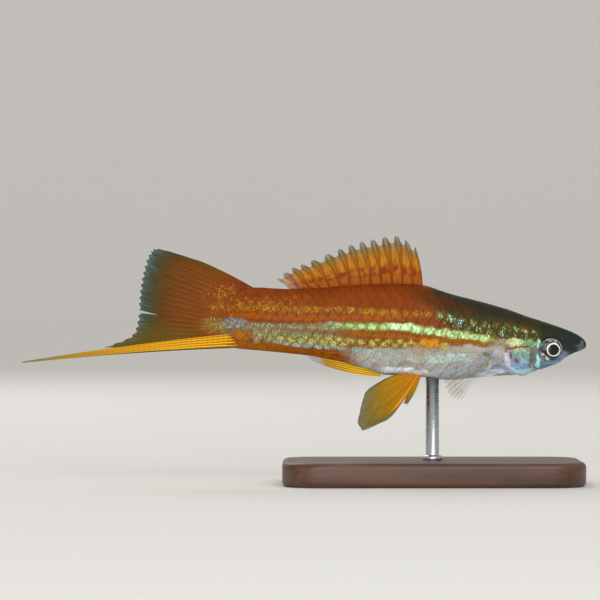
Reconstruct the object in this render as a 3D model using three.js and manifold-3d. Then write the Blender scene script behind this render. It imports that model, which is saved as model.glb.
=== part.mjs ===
// A male swordtail, held still on a plain display stand, at life size.
//
// Millimetres, +Z up. The snout points to +X and the fish's right side faces -Y. The origin lies on the surface
// that the base stands on, under the middle of the whole length from the lips to the tip of the sword.
//
// The body is one loft, parted by thin cuts into head, lower jaw, gill covers, trunk and tail stalk. Each fin
// is a thin sheet with its rays raised on both faces, and its root is cut to the body that it grows from.
import * as THREE from "three";
import { mergeVertices } from "three/addons/utils/BufferGeometryUtils.js";
import Module from "manifold-3d";

const wasm = await Module();
wasm.setup();

// Driving dimensions
const TOTAL_LENGTH = 94; // lips to sword tip
const BODY_LENGTH = 60.2; // lips to the end of the flesh in the tail fin
const GAP = 0.3; // between nodes that touch
const BASE_SIZE = { length: 50, width: 28, height: 4, corner: 6, edge: 0.8 };
const PELVIC_CLEARANCE = 5; // from the base up to the lowest fin tip
const LOWEST_FIN_BELOW_SNOUT = 14.17;
const ROD_RADIUS = 1.1;
const ROD_BEHIND_SNOUT = 25.6; // between the pectoral and the pelvic fins

const SNOUT_X = TOTAL_LENGTH / 2;
const SNOUT_Z = BASE_SIZE.height + PELVIC_CLEARANCE + LOWEST_FIN_BELOW_SNOUT;
const RIGHT = -1; // side of the fish, as the sign of Y
const LEFT = 1;

// The body's outlines, each as [distance behind the lips, size].
const BACK_ABOVE_SNOUT = [
  [0, 0.42], [0.35, 0.92], [0.9, 1.4], [1.8, 1.95], [3.7, 2.75], [7, 3.88], [10.7, 5.07], [13, 6.05],
  [18, 7.5], [23, 8.77], [27.3, 10.13], [31.5, 10.35], [38.5, 10.13], [45.7, 9.6], [50, 9.5], [55, 9.75],
  [57.3, 9.5], [59, 8.6], [BODY_LENGTH, 7.0],
];
const BELLY_BELOW_SNOUT = [
  [0, 0.42], [0.6, 0.72], [2.3, 1.5], [3.9, 2.3], [5.6, 3.3], [8.5, 4.33], [10.8, 5.02], [14, 5.2],
  [19, 5.65], [22.7, 6.0], [26, 5.68], [29, 5.27], [33.5, 5.15], [35.5, 4.6], [41.8, 2.67], [45.7, 2.0],
  [54, 1.12], [58, 0.75], [59.3, 0.4], [BODY_LENGTH, -0.8],
];
const HALF_WIDTH = [
  [0, 0.95], [0.35, 1.35], [1, 1.68], [2.3, 2.05], [5.5, 2.75], [10, 3.6], [14, 3.92], [21, 4.12],
  [27, 3.95], [35, 3.3], [45, 2.45], [54, 1.8], [58, 1.2], [BODY_LENGTH, 0.75],
];
// How square the upper and lower halves of a section are: 2 is an ellipse.
const BACK_SQUARENESS = [[0, 2.3], [5, 2.9], [12, 2.6], [22, 2.2], [BODY_LENGTH, 2.1]];
const BELLY_SQUARENESS = [[0, 2.2], [6, 2.0], [20, 2.1], [40, 1.9], [BODY_LENGTH, 2.1]];

// The loft's rings, closer together where the snout and the end of the tail curve
const RING_POINTS = 32;
const RING_COUNT = 42;
const SNOUT_CROWDING = 1.45;
const TAIL_CROWDING = 1.35;

// Lateral landmarks, as [distance behind the lips, height above the snout]
const EYE = { behind: 5.78, above: -0.75, radius: 1.95, bulge: 1.25, centreY: 1.95 };
const MOUTH_CORNER = { behind: 2.15, above: -1.05 };
const MOUTH_FRONT_ABOVE = -0.08;
const JAW_HINGE = { behind: 3.5, above: -2.2 };
const LIP = { radius: 0.3, reach: 1.5, drop: 0.8, widthShare: 0.92, endSink: 0.3, endClose: 0.6 };
const NOSTRIL = { behind: 2.75, radius: 0.3, angle: 58 };
const GILL_COVER = {
  frontBehind: 9.2, rearBehind: 13.25, top: 1.1, bottom: -4.8, thickness: 0.6, proud: 0.12, innerY: 0.6,
};
const HEAD_CUT = { centreBehind: 4.5, above: 0, radius: 9.1 }; // the rear edge of the head, an arc
const STALK_BEHIND = 45.7; // where the trunk passes into the tail stalk

// A smooth curve through [x, y] points that never overshoots them.
function curveThrough(points) {
  const last = points.length - 1;
  const rise = (i) => (points[i + 1][1] - points[i][1]) / (points[i + 1][0] - points[i][0]);
  const slope = points.map((_, i) => {
    if (i === 0) return rise(0);
    if (i === last) return rise(last - 1);
    const product = rise(i - 1) * rise(i);
    return product <= 0 ? 0 : (2 * product) / (rise(i - 1) + rise(i));
  });
  return (x) => {
    let i = 0;
    while (i < last - 1 && x > points[i + 1][0]) i++;
    const width = points[i + 1][0] - points[i][0];
    const t = THREE.MathUtils.clamp((x - points[i][0]) / width, 0, 1);
    const [t2, t3] = [t * t, t * t * t];
    return (
      (2 * t3 - 3 * t2 + 1) * points[i][1] +
      (t3 - 2 * t2 + t) * width * slope[i] +
      (3 * t2 - 2 * t3) * points[i + 1][1] +
      (t3 - t2) * width * slope[i + 1]
    );
  };
}

const backAbove = curveThrough(BACK_ABOVE_SNOUT);
const bellyBelow = curveThrough(BELLY_BELOW_SNOUT);
const halfWidth = curveThrough(HALF_WIDTH);
const backSquareness = curveThrough(BACK_SQUARENESS);
const bellySquareness = curveThrough(BELLY_SQUARENESS);

// The point of the part's frame at a distance behind the lips and a height above the snout.
function at(behind, above, y = 0) {
  return new THREE.Vector3(SNOUT_X - behind, y, SNOUT_Z + above);
}

// A point of the skin: angle 0 is the left side, 90 the back and 270 the belly. grow moves it outwards.
function bodyPoint(behind, degrees, grow = 0) {
  const [c, s] = [Math.cos(THREE.MathUtils.degToRad(degrees)), Math.sin(THREE.MathUtils.degToRad(degrees))];
  const [top, bottom] = [backAbove(behind) + grow, -bellyBelow(behind) - grow];
  const middle = (top + bottom) / 2;
  const power = 2 / (s > 0 ? backSquareness(behind) : bellySquareness(behind));
  const y = (halfWidth(behind) + grow) * Math.sign(c) * Math.abs(c) ** power;
  const above = middle + ((top - bottom) / 2) * Math.sign(s) * Math.abs(s) ** power;
  const stretch = 1 + (2 * grow) / BODY_LENGTH; // the ends move out too
  return at((behind - BODY_LENGTH / 2) * stretch + BODY_LENGTH / 2, above, y);
}

// A closed solid from points and triangles, turned right side out.
function closedSolid(points, triangles) {
  const vertProperties = new Float32Array(points.flatMap((p) => [p.x, p.y, p.z]));
  const make = (tris) => new wasm.Manifold(
    new wasm.Mesh({ numProp: 3, vertProperties, triVerts: new Uint32Array(tris.flat()) }),
  );
  const solid = make(triangles);
  return solid.volume() > 0 ? solid : make(triangles.map(([a, b, c]) => [a, c, b]));
}

// A three.js geometry as a solid.
function solidOf(geometry) {
  const bare = geometry.clone().deleteAttribute("normal").deleteAttribute("uv");
  const merged = mergeVertices(bare, 1e-4);
  return new wasm.Manifold(
    new wasm.Mesh({
      numProp: 3,
      vertProperties: merged.attributes.position.array,
      triVerts: new Uint32Array(merged.index.array),
    }),
  );
}

// The largest closed body of a solid, without any scraps that a cut left.
function largest(solid) {
  return solid.decompose().sort((a, b) => b.volume() - a.volume())[0];
}

// A solid between rings of points, closed by a fan at each end.
function loft(rings) {
  const size = rings[0].length;
  const points = rings.flat();
  const triangles = [];
  for (let i = 0; i + 1 < rings.length; i++) {
    for (let j = 0; j < size; j++) {
      const [a, b] = [i * size + j, i * size + ((j + 1) % size)];
      triangles.push([a, b, b + size], [a, b + size, a + size]);
    }
  }
  for (const end of [0, rings.length - 1]) {
    const centre = rings[end].reduce((sum, p) => sum.add(p), new THREE.Vector3()).divideScalar(size);
    points.push(centre);
    for (let j = 0; j < size; j++) {
      const [a, b] = [end * size + j, end * size + ((j + 1) % size)];
      triangles.push(end === 0 ? [points.length - 1, b, a] : [points.length - 1, a, b]);
    }
  }
  return closedSolid(points, triangles);
}

function bodyLoft(grow = 0) {
  return loft(
    Array.from({ length: RING_COUNT }, (_, i) => {
      const share = (i / (RING_COUNT - 1)) ** SNOUT_CROWDING;
      const behind = BODY_LENGTH * (1 - (1 - share) ** TAIL_CROWDING);
      return Array.from({ length: RING_POINTS }, (_, j) => bodyPoint(behind, (360 * j) / RING_POINTS, grow));
    }),
  );
}

// A flat outline in the fish's side view, pushed through from y = near to y = far. It holds Vector2 points of
// [part X, part Z].
function throughSides(outline, near, far) {
  const shape = new THREE.Shape(outline);
  const geometry = new THREE.ExtrudeGeometry(shape, { depth: far - near, bevelEnabled: false });
  geometry.rotateX(Math.PI / 2); // the outline's y becomes Z, and the depth runs along -Y
  geometry.translate(0, far, 0);
  return solidOf(geometry);
}

// An ellipsoid with its centre at a point.
function ellipsoid(centre, radii, segments = 20, rings = 10) {
  const geometry = new THREE.SphereGeometry(1, segments, rings);
  geometry.rotateX(Math.PI / 2);
  geometry.scale(...radii);
  geometry.translate(...centre);
  return solidOf(geometry);
}

// Points of an arc in side view, from one angle to another, counted from +X towards +Z.
function arc(centre, radius, from, to, count, heightShare = 1) {
  return Array.from({ length: count }, (_, i) => {
    const angle = THREE.MathUtils.degToRad(from + ((to - from) * i) / (count - 1));
    const [along, up] = [radius * Math.cos(angle), radius * heightShare * Math.sin(angle)];
    return new THREE.Vector2(centre.x + along, centre.z + up);
  });
}

const body = bodyLoft();
const bodyWithGap = bodyLoft(GAP);

// Cuts that part the body

// All that lies in front of the head's rear edge. grow moves that edge back.
function headRegion(grow) {
  const centre = at(HEAD_CUT.centreBehind, HEAD_CUT.above);
  const reach = 30;
  const radius = HEAD_CUT.radius + grow;
  const outline = [
    new THREE.Vector2(centre.x + reach, centre.z - reach),
    new THREE.Vector2(centre.x + reach, centre.z + reach),
    new THREE.Vector2(centre.x, centre.z + reach),
    ...arc(centre, radius, 90, 270, 19),
    new THREE.Vector2(centre.x, centre.z - reach),
  ];
  return throughSides(outline, -reach, reach);
}

// All that lies behind a distance from the lips.
function regionBehind(behind) {
  const edge = at(behind, 0);
  const reach = 60;
  const outline = [
    new THREE.Vector2(edge.x, edge.z - reach),
    new THREE.Vector2(edge.x, edge.z + reach),
    new THREE.Vector2(edge.x - reach, edge.z + reach),
    new THREE.Vector2(edge.x - reach, edge.z - reach),
  ];
  return throughSides(outline, -reach, reach);
}

// The lower jaw's region, under the mouth line and in front of the jaw's hinge.
function jawRegion(grow) {
  const [ahead, reach] = [3, 6]; // past the lips, and past the jaw's underside and sides
  const mouthSlope = (MOUTH_FRONT_ABOVE - MOUTH_CORNER.above) / MOUTH_CORNER.behind;
  const corner = at(MOUTH_CORNER.behind, MOUTH_CORNER.above);
  const front = at(-ahead, MOUTH_FRONT_ABOVE + mouthSlope * ahead);
  const hinge = at(JAW_HINGE.behind, JAW_HINGE.above);
  const outline = [
    new THREE.Vector2(front.x, front.z + grow),
    new THREE.Vector2(corner.x - grow, corner.z + grow),
    new THREE.Vector2(hinge.x - grow, hinge.z),
    new THREE.Vector2(hinge.x - grow, hinge.z - reach),
    new THREE.Vector2(front.x, front.z - reach),
  ];
  return throughSides(outline, -reach, reach);
}

// One gill cover's outline, straight in front and round behind.
function gillCoverRegion(side, grow) {
  const { frontBehind, rearBehind, top, bottom, innerY } = GILL_COVER;
  const outerY = innerY + 8;
  const height = (top - bottom) / 2 + grow;
  const front = at(frontBehind, (top + bottom) / 2);
  const rear = rearBehind - frontBehind + grow;
  const outline = [
    new THREE.Vector2(front.x + grow, front.z - height),
    new THREE.Vector2(front.x + grow, front.z + height),
    ...arc(front, rear, 90, 270, 13, height / rear),
  ];
  return throughSides(outline, side > 0 ? innerY : -outerY, side > 0 ? outerY : -innerY);
}

// Pieces of the head

// A lip: a roll of flesh round the front of the mouth, from corner to corner.
function lip(above) {
  const rows = 13;
  const path = Array.from({ length: rows }, (_, i) => {
    const turn = -1 + (2 * i) / (rows - 1);
    const back = turn * turn;
    const behind = LIP.radius + LIP.reach * back;
    const drop = MOUTH_FRONT_ABOVE + (MOUTH_CORNER.above - MOUTH_FRONT_ABOVE) * LIP.drop * back;
    const out = halfWidth(behind) * LIP.widthShare * Math.sqrt(Math.abs(turn)) - LIP.endSink * back ** 3;
    return at(behind, drop + above * (1 - LIP.endClose * back), Math.sign(turn) * out);
  });
  const section = new THREE.Shape().absarc(0, 0, LIP.radius, 0, 2 * Math.PI);
  return solidOf(
    new THREE.ExtrudeGeometry(section, {
      steps: 16,
      curveSegments: 3,
      extrudePath: new THREE.CatmullRomCurve3(path),
    }),
  );
}

function nostril(side) {
  const angle = side > 0 ? NOSTRIL.angle : 180 - NOSTRIL.angle;
  const { behind, radius } = NOSTRIL;
  return ellipsoid(bodyPoint(behind, angle), [radius * 1.3, radius, radius], 8, 6);
}

function eyeBall(side, grow = 0) {
  const centre = at(EYE.behind, EYE.above, side * EYE.centreY);
  const [across, radius] = [EYE.bulge + grow, EYE.radius + grow];
  return ellipsoid(centre, [radius, across, radius]);
}

function gillCover(side) {
  return largest(
    gillCoverRegion(side, 0).intersect(bodyLoft(GILL_COVER.proud)).subtract(bodyLoft(-GILL_COVER.thickness)),
  );
}

function head() {
  let solid = body.intersect(headRegion(0)).add(lip(LIP.radius + GAP / 2)).subtract(jawRegion(GAP));
  for (const side of [RIGHT, LEFT]) {
    const recess = gillCoverRegion(side, GAP).subtract(bodyLoft(-GILL_COVER.thickness - GAP));
    solid = solid.subtract(recess).subtract(eyeBall(side, GAP)).subtract(nostril(side));
  }
  return largest(solid);
}

function lowerJaw() {
  return largest(body.add(lip(-LIP.radius - GAP / 2)).intersect(jawRegion(0)));
}

function trunk() {
  return largest(body.subtract(headRegion(GAP)).subtract(regionBehind(STALK_BEHIND)));
}

function tailStalk() {
  return largest(body.intersect(regionBehind(STALK_BEHIND + GAP)));
}

// Fins

const WEB_COLUMNS = [0.27, 0.73]; // where the skin between two rays has points, as shares of the way across
const RIDGE_TAPER = 0.6; // how much of its height a ray loses towards its tip

// A thin sheet with a ridge for each ray. Each ray is { root, tip, sag }, where sag is how far the middle of
// the ray lies off the straight line. webs gives how far out the skin between two rays reaches, as a share of
// their length. facing is the direction across the sheet.
function fin({ rays, webs, facing, rows = 7, thick = 0.56, thin = 0.3, ridge = 0.16 }) {
  const columns = [];
  rays.forEach((ray, k) => {
    columns.push({ ...ray, crest: true });
    const next = rays[k + 1];
    if (!next) return;
    for (const share of WEB_COLUMNS) {
      const root = ray.root.clone().lerp(next.root, share);
      const edge = ray.tip.clone().lerp(next.tip, share);
      const sag = ray.sag.clone().lerp(next.sag, share);
      columns.push({ root, tip: root.clone().lerp(edge, webs(k)), sag, crest: false });
    }
  });
  const faces = [1, -1].map((face) =>
    columns.map(({ root, tip, sag, crest }) =>
      Array.from({ length: rows }, (_, j) => {
        const v = j / (rows - 1);
        const sheet = THREE.MathUtils.lerp(thick, thin, v ** 4) / 2;
        const half = sheet + (crest ? ridge * (1 - RIDGE_TAPER * v) : 0);
        const middle = root.clone().lerp(tip, v).addScaledVector(sag, 4 * v * (1 - v));
        return middle.addScaledVector(facing, face * half);
      }),
    ),
  );
  const points = faces.flat(2);
  const [width, size] = [columns.length, columns.length * rows];
  const triangles = [];
  // Both faces are split along the same diagonals, so that they can't cross.
  const quad = (a, b, c, d) => triangles.push([a, b, c], [a, c, d]);
  for (let i = 0; i + 1 < width; i++) {
    for (let j = 0; j + 1 < rows; j++) {
      const [a, b] = [i * rows + j, (i + 1) * rows + j];
      quad(a, b, b + 1, a + 1);
      triangles.push([size + a, size + b + 1, size + b], [size + a, size + a + 1, size + b + 1]);
    }
  }
  for (let i = 0; i + 1 < width; i++) {
    const [a, b] = [i * rows, (i + 1) * rows];
    quad(a, size + a, size + b, b);
    const [c, d] = [a + rows - 1, b + rows - 1];
    quad(c, d, size + d, size + c);
  }
  for (let j = 0; j + 1 < rows; j++) {
    quad(j, j + 1, size + j + 1, size + j);
    const e = (width - 1) * rows + j;
    quad(e, size + e, size + e + 1, e + 1);
  }
  return closedSolid(points, triangles);
}

// Rays spread evenly along a root line and a tip line, each a smooth curve through points.
function evenRays(count, roots, tips, sagOf) {
  const [rootLine, tipLine] = [new THREE.CatmullRomCurve3(roots), new THREE.CatmullRomCurve3(tips)];
  return Array.from({ length: count }, (_, k) => {
    const u = k / (count - 1);
    return { root: rootLine.getPoint(u), tip: tipLine.getPoint(u), sag: sagOf(u) };
  });
}

const ACROSS = new THREE.Vector3(0, 1, 0);

function dorsalFin() {
  const roots = [at(27.2, 9.2), at(48.3, 9.0)];
  const tips = [
    at(28.4, 16.3), at(31.4, 18.25), at(35.1, 17.8), at(38.6, 17.0), at(42, 15.7), at(46.3, 13.9),
    at(48.8, 12.8), at(51.1, 11.4),
  ];
  const rays = evenRays(14, roots, tips, (u) => new THREE.Vector3(0.3, 0, 0.6 * u * (1 - u)));
  return largest(fin({ rays, webs: () => 0.955, facing: ACROSS }).subtract(bodyWithGap));
}

function tailFin() {
  const roots = [
    at(55.5, 9.6), at(57, 9.3), at(58.6, 7.6), at(59.2, 5.6), at(59.3, 3.8), at(59, 2.4), at(58.4, 1.0),
  ];
  const tips = [
    at(64.3, 14.0), at(71, 16.0), at(72.7, 15.3), at(73.6, 12.8), at(74.2, 10), at(74.5, 7.1), at(74.7, 4.3),
    at(75.8, 1.5), at(80.3, -0.4),
  ];
  const notch = 9; // the split behind this ray
  const rays = evenRays(16, roots, tips, (u) => new THREE.Vector3(0, 0, 0.2 - 0.7 * u));
  const webs = (k) => (k === notch ? 0.76 : 0.965);
  const sheet = fin({ rays, webs, facing: ACROSS, thick: 0.6 });
  return largest(sheet.subtract(bodyWithGap).subtract(swordBlade(GAP)));
}

// The drawn-out lower rays of the tail. grow widens the blade for the gap to the fin above it.
function swordBlade(grow = 0) {
  const roots = [at(57.5, 2.0 + grow), at(57.8, -0.45 - grow)];
  const tips = [at(TOTAL_LENGTH + grow, -2.78 + grow), at(TOTAL_LENGTH + grow, -3.0 - grow)];
  const rays = evenRays(5, roots, tips, () => new THREE.Vector3(0, 0, 0.32));
  return fin({ rays, webs: () => 1, facing: ACROSS, rows: 10, thick: 0.9 + 2 * grow, thin: 0.36 + 2 * grow });
}

function sword() {
  return largest(swordBlade().subtract(bodyWithGap));
}

// The anal fin of a male: a narrow rod of thick rays, folded back along the belly.
function analFin() {
  const roots = [at(34.4, -4.2), at(33.9, -5.55)];
  const tips = [at(46.1, -1.95), at(46, -2.55)];
  const sags = [new THREE.Vector3(0, 0, -0.15), new THREE.Vector3(0, 0, -0.6)];
  const rays = evenRays(4, roots, tips, (u) => sags[0].clone().lerp(sags[1], u));
  const shape = { rows: 10, thick: 0.9, thin: 0.5, ridge: 0.14 };
  return largest(fin({ rays, webs: () => 0.99, facing: ACROSS, ...shape }).subtract(bodyWithGap));
}

// The direction across a fan of rays.
function facingOf(rays) {
  const [first, middle, last] = [rays[0], rays[rays.length >> 1], rays[rays.length - 1]];
  const along = middle.tip.clone().sub(middle.root);
  return along.cross(last.tip.clone().sub(first.tip)).normalize();
}

function pelvicFin(side) {
  // Each ray's root and tip: behind, above, and out from the middle
  const layout = [
    [27.6, -5.0, 0.8, 30.3, -10.1, 1.9],
    [28.0, -5.0, 0.85, 37.1, -14.1, 3.2],
    [28.4, -5.0, 0.9, 38.0, -13.0, 3.3],
    [28.8, -4.9, 0.9, 37.8, -10.1, 2.9],
    [29.2, -4.8, 0.9, 36.6, -7.8, 2.4],
    [29.7, -4.6, 0.85, 34.2, -6.1, 1.7],
  ];
  const bows = [0, 0.45, 0.15, -0.1, -0.2, -0.2]; // how far each ray bends forwards and down
  const rays = layout.map(([behind, above, out, tipBehind, tipAbove, tipOut], k) => ({
    root: at(behind, above, side * out),
    tip: at(tipBehind, tipAbove, side * tipOut),
    sag: new THREE.Vector3(bows[k], side * 0.3, -bows[k]),
  }));
  const reach = [0.4, 0.88, 0.96, 0.95, 0.95];
  const sheet = fin({ rays, webs: (k) => reach[k], facing: facingOf(rays), ridge: 0.14 });
  return largest(sheet.subtract(bodyWithGap));
}

function pectoralFin(side) {
  const roots = [at(15.3, -1.1, side * 3.3), at(15.8, -2.2, side * 3.2), at(16.5, -3.2, side * 2.8)];
  const tips = [
    at(20.6, -0.5, side * 6.4), at(22.8, -2.4, side * 7.2), at(23.4, -4.6, side * 7.3), at(23.3, -7, side * 6.8),
    at(22.5, -8.7, side * 6.1), at(21.1, -9.1, side * 5.4),
  ];
  const rays = evenRays(12, roots, tips, () => new THREE.Vector3(0, side * 0.45, 0.2));
  const sheet = fin({ rays, webs: () => 0.95, facing: facingOf(rays), thick: 0.5, thin: 0.3, ridge: 0.12 });
  return largest(sheet.subtract(bodyWithGap));
}

// The stand

function standBase() {
  const { length, width, height, corner, edge } = BASE_SIZE;
  const [x, y, r] = [length / 2 - edge, width / 2 - edge, corner - edge];
  const outline = new THREE.Shape()
    .moveTo(-x + r, -y).lineTo(x - r, -y).absarc(x - r, -y + r, r, -Math.PI / 2, 0)
    .lineTo(x, y - r).absarc(x - r, y - r, r, 0, Math.PI / 2)
    .lineTo(-x + r, y).absarc(-x + r, y - r, r, Math.PI / 2, Math.PI)
    .lineTo(-x, -y + r).absarc(-x + r, -y + r, r, Math.PI, 1.5 * Math.PI);
  const geometry = new THREE.ExtrudeGeometry(outline, {
    depth: height - 2 * edge, curveSegments: 5, bevelThickness: edge, bevelSize: edge, bevelSegments: 2,
  });
  geometry.translate(SNOUT_X - ROD_BEHIND_SNOUT, 0, edge);
  return solidOf(geometry);
}

function standRod() {
  const bottom = BASE_SIZE.height + GAP;
  const height = SNOUT_Z - bottom;
  const geometry = new THREE.CylinderGeometry(ROD_RADIUS, ROD_RADIUS, height, 16);
  geometry.rotateX(Math.PI / 2);
  geometry.translate(SNOUT_X - ROD_BEHIND_SNOUT, 0, bottom + height / 2);
  return largest(solidOf(geometry).subtract(bodyWithGap));
}

// Materials and assembly

function material(color, roughness, metalness = 0, opacity = 1) {
  return new THREE.MeshStandardMaterial({ color, roughness, metalness, opacity, transparent: opacity < 1 });
}

const OLIVE_SKIN = material(0x4a4a2c, 0.4);
const SILVER_SKIN = material(0xa9b4c4, 0.3, 0.3);
const RUST_SKIN = material(0xa8501c, 0.4);
const EYE_GLOSS = material(0x14161a, 0.08);
const ORANGE_FIN = material(0xc97a1c, 0.45);
const GOLD_FIN = material(0xe2a02a, 0.4);
const CLEAR_FIN = material(0xbab49c, 0.4, 0, 0.5);
const WALNUT = material(0x4b2f1d, 0.5);
const STEEL = material(0xb8bcc0, 0.3, 1);

function nodeMesh(name, solid, look) {
  const { vertProperties, triVerts, numProp, numVert } = solid.getMesh();
  const position = new Float32Array(numVert * 3);
  for (let i = 0; i < numVert; i++) {
    position.set(vertProperties.subarray(i * numProp, i * numProp + 3), i * 3);
  }
  const geometry = new THREE.BufferGeometry();
  geometry.setAttribute("position", new THREE.BufferAttribute(position, 3));
  geometry.setIndex(new THREE.BufferAttribute(triVerts, 1));
  geometry.computeVertexNormals();
  const mesh = new THREE.Mesh(geometry, look);
  mesh.name = name;
  return mesh;
}

const fish = new THREE.Group();
fish.add(
  nodeMesh("head", head(), OLIVE_SKIN),
  nodeMesh("lower_jaw", lowerJaw(), SILVER_SKIN),
  nodeMesh("trunk", trunk(), RUST_SKIN),
  nodeMesh("tail_stalk", tailStalk(), RUST_SKIN),
  nodeMesh("dorsal_fin", dorsalFin(), ORANGE_FIN),
  nodeMesh("tail_fin", tailFin(), ORANGE_FIN),
  nodeMesh("sword", sword(), GOLD_FIN),
  nodeMesh("anal_fin", analFin(), GOLD_FIN),
);
for (const [side, word] of [[RIGHT, "right"], [LEFT, "left"]]) {
  fish.add(
    nodeMesh("eye_" + word, eyeBall(side), EYE_GLOSS),
    nodeMesh("gill_cover_" + word, gillCover(side), SILVER_SKIN),
    nodeMesh("pectoral_fin_" + word, pectoralFin(side), CLEAR_FIN),
    nodeMesh("pelvic_fin_" + word, pelvicFin(side), ORANGE_FIN),
  );
}

const stand = new THREE.Group();
stand.add(nodeMesh("stand_base", standBase(), WALNUT), nodeMesh("stand_rod", standRod(), STEEL));

const model = new THREE.Group();
model.add(fish, stand);
export default model;
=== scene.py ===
"""A male swordtail on a plain display stand, dressed in skin, scales, fins and eyes over its solid model.

Sizes are in millimetres until a mesh is made. The snout points to +X, the fish's right side faces -Y, and
Z is up. Places on the fish are given as the distance behind the lips and the height above the snout.
"""
import math

import bpy
import numpy as np
from bpy.props import FloatProperty, FloatVectorProperty, IntProperty, PointerProperty
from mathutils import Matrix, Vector


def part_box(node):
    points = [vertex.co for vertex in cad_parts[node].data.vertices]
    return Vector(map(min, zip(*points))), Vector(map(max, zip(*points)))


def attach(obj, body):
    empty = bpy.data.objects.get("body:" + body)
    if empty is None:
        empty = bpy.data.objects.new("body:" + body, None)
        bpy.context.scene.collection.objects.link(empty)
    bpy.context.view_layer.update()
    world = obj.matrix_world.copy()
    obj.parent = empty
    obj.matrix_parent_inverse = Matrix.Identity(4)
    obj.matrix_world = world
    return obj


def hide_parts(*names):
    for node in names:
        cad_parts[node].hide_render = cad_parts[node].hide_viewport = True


bl_info = {
    "name": "Swordtail on a stand",
    "version": (1, 0, 0),
    "blender": (4, 5, 0),
    "location": "3D View > Sidebar > Swordtail",
    "description": "Skin, scales, fins and eyes of a male swordtail, with its stand and studio",
    "category": "Object",
}

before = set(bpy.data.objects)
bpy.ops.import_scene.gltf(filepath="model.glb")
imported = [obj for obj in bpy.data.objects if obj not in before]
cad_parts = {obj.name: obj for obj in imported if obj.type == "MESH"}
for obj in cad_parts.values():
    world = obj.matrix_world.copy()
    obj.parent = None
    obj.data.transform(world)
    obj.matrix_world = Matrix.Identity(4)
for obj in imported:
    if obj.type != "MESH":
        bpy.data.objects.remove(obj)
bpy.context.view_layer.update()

MM = 0.001
SIDES = {"right": -1, "left": 1}  # the sign of Y

# The eye sits a known height below the snout, so its node gives the snout's place.
EYE_BELOW_SNOUT = 0.75
EYE_LOW, EYE_HIGH = (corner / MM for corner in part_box("eye_right"))
EYE_RADIUS = (EYE_HIGH.x - EYE_LOW.x) / 2
EYE_OUT = -EYE_LOW.y
SNOUT_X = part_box("head")[1].x / MM
SNOUT_Z = (EYE_LOW.z + EYE_HIGH.z) / 2 + EYE_BELOW_SNOUT
EYE_BACK = 0.25  # the photo's eye sits this much further back than the eye's node
EYE_BEHIND = SNOUT_X - (EYE_LOW.x + EYE_HIGH.x) / 2 + EYE_BACK
PUPIL_AHEAD = 0.4  # the pupil sits a little forward in the eye

BODY_LENGTH = 60.2  # lips to the end of the flesh in the tail fin

# The body's outlines, each as [distance behind the lips, size]
BACK_ABOVE_SNOUT = [
    (0, 0.42), (0.35, 0.92), (0.9, 1.4), (1.8, 1.95), (3.7, 2.75), (7, 3.88), (10.7, 5.07), (13, 6.05),
    (18, 7.5), (23, 8.77), (27.3, 10.13), (31.5, 10.35), (38.5, 10.13), (45.7, 9.6), (50, 9.5), (55, 9.75),
    (57.3, 9.5), (59, 8.6), (BODY_LENGTH, 7.0),
]
BELLY_BELOW_SNOUT = [
    (0, 0.42), (0.6, 0.72), (2.3, 1.5), (3.7, 2.3), (4.5, 2.95), (5.6, 3.4), (8.5, 4.33), (10.8, 5.02),
    (14, 5.2), (19, 5.65), (22.7, 6.0), (26, 5.68), (29, 5.27), (33.5, 5.15), (35.5, 4.6), (41.8, 2.67),
    (45.7, 2.0), (54, 1.12), (58, 0.75), (59.3, 0.4), (BODY_LENGTH, -0.8),
]
HALF_WIDTH = [
    (0, 0.95), (0.35, 1.35), (1, 1.68), (2.3, 2.05), (5.5, 2.75), (10, 3.6), (14, 3.92), (21, 4.12),
    (27, 3.95), (35, 3.3), (45, 2.45), (53, 1.75), (57, 0.95), (59, 0.42), (BODY_LENGTH, 0.14),
]
BACK_SQUARENESS = [(0, 2.3), (5, 2.9), (12, 2.6), (22, 2.2), (BODY_LENGTH, 2.1)]
BELLY_SQUARENESS = [(0, 2.2), (6, 2.0), (20, 2.1), (40, 1.9), (BODY_LENGTH, 2.1)]

MOUTH_CORNER = (2.15, -1.05)
MOUTH_FRONT_ABOVE = -0.08
JAW_HINGE = (3.7, -2.1)
GILL_EDGE = {"centre": (9.2, -1.95), "reach": (4.05, 3.2), "power": 2.6}

SKIN_RINGS = [(0.06, 0.07, 3), (3, 0.1, 14), (14, 0.3, 57.8), (57.8, 0.12, BODY_LENGTH)]  # from, step, to
SKIN_AROUND = 224
SKIN_UNDER = 0.02  # depth of the bare skin under the solids' outline
SCALED_FROM = (10, 15)  # where the skin sinks to leave room for the scales
SNOUT_CAP = ((0.01, 0.3, 0.55, 0.75, 0.9), 0.06)  # rings as shares of the end ring, and how far they bulge
TAIL_CAP = ((0.9, 0.7, 0.4, 0.01), -0.15)
CAP_MARGIN = 0.02  # share of the skin's unwrap that each end cap takes
SMALLEST = 1e-9  # keeps a division from zero


# Shapes

def smooth(low, high, x):
    """0 below low, 1 above high, and a soft step between them."""
    t = np.clip((x - low) / (high - low), 0, 1)
    return t * t * (3 - 2 * t)


def bump(distance, width):
    """A rounded bump of height 1 at distance 0."""
    return np.exp(-((distance / width) ** 2))


def within(places, x):
    """1 along a stretch that fades in between the first two places and out between the last two."""
    return smooth(places[0], places[1], x) * (1 - smooth(places[2], places[3], x))


def ridges(away, *lines):
    """Rounded ridges and grooves, at their places of a distance."""
    return sum(rise * bump(away - place, width) for place, rise, width in lines)


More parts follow.
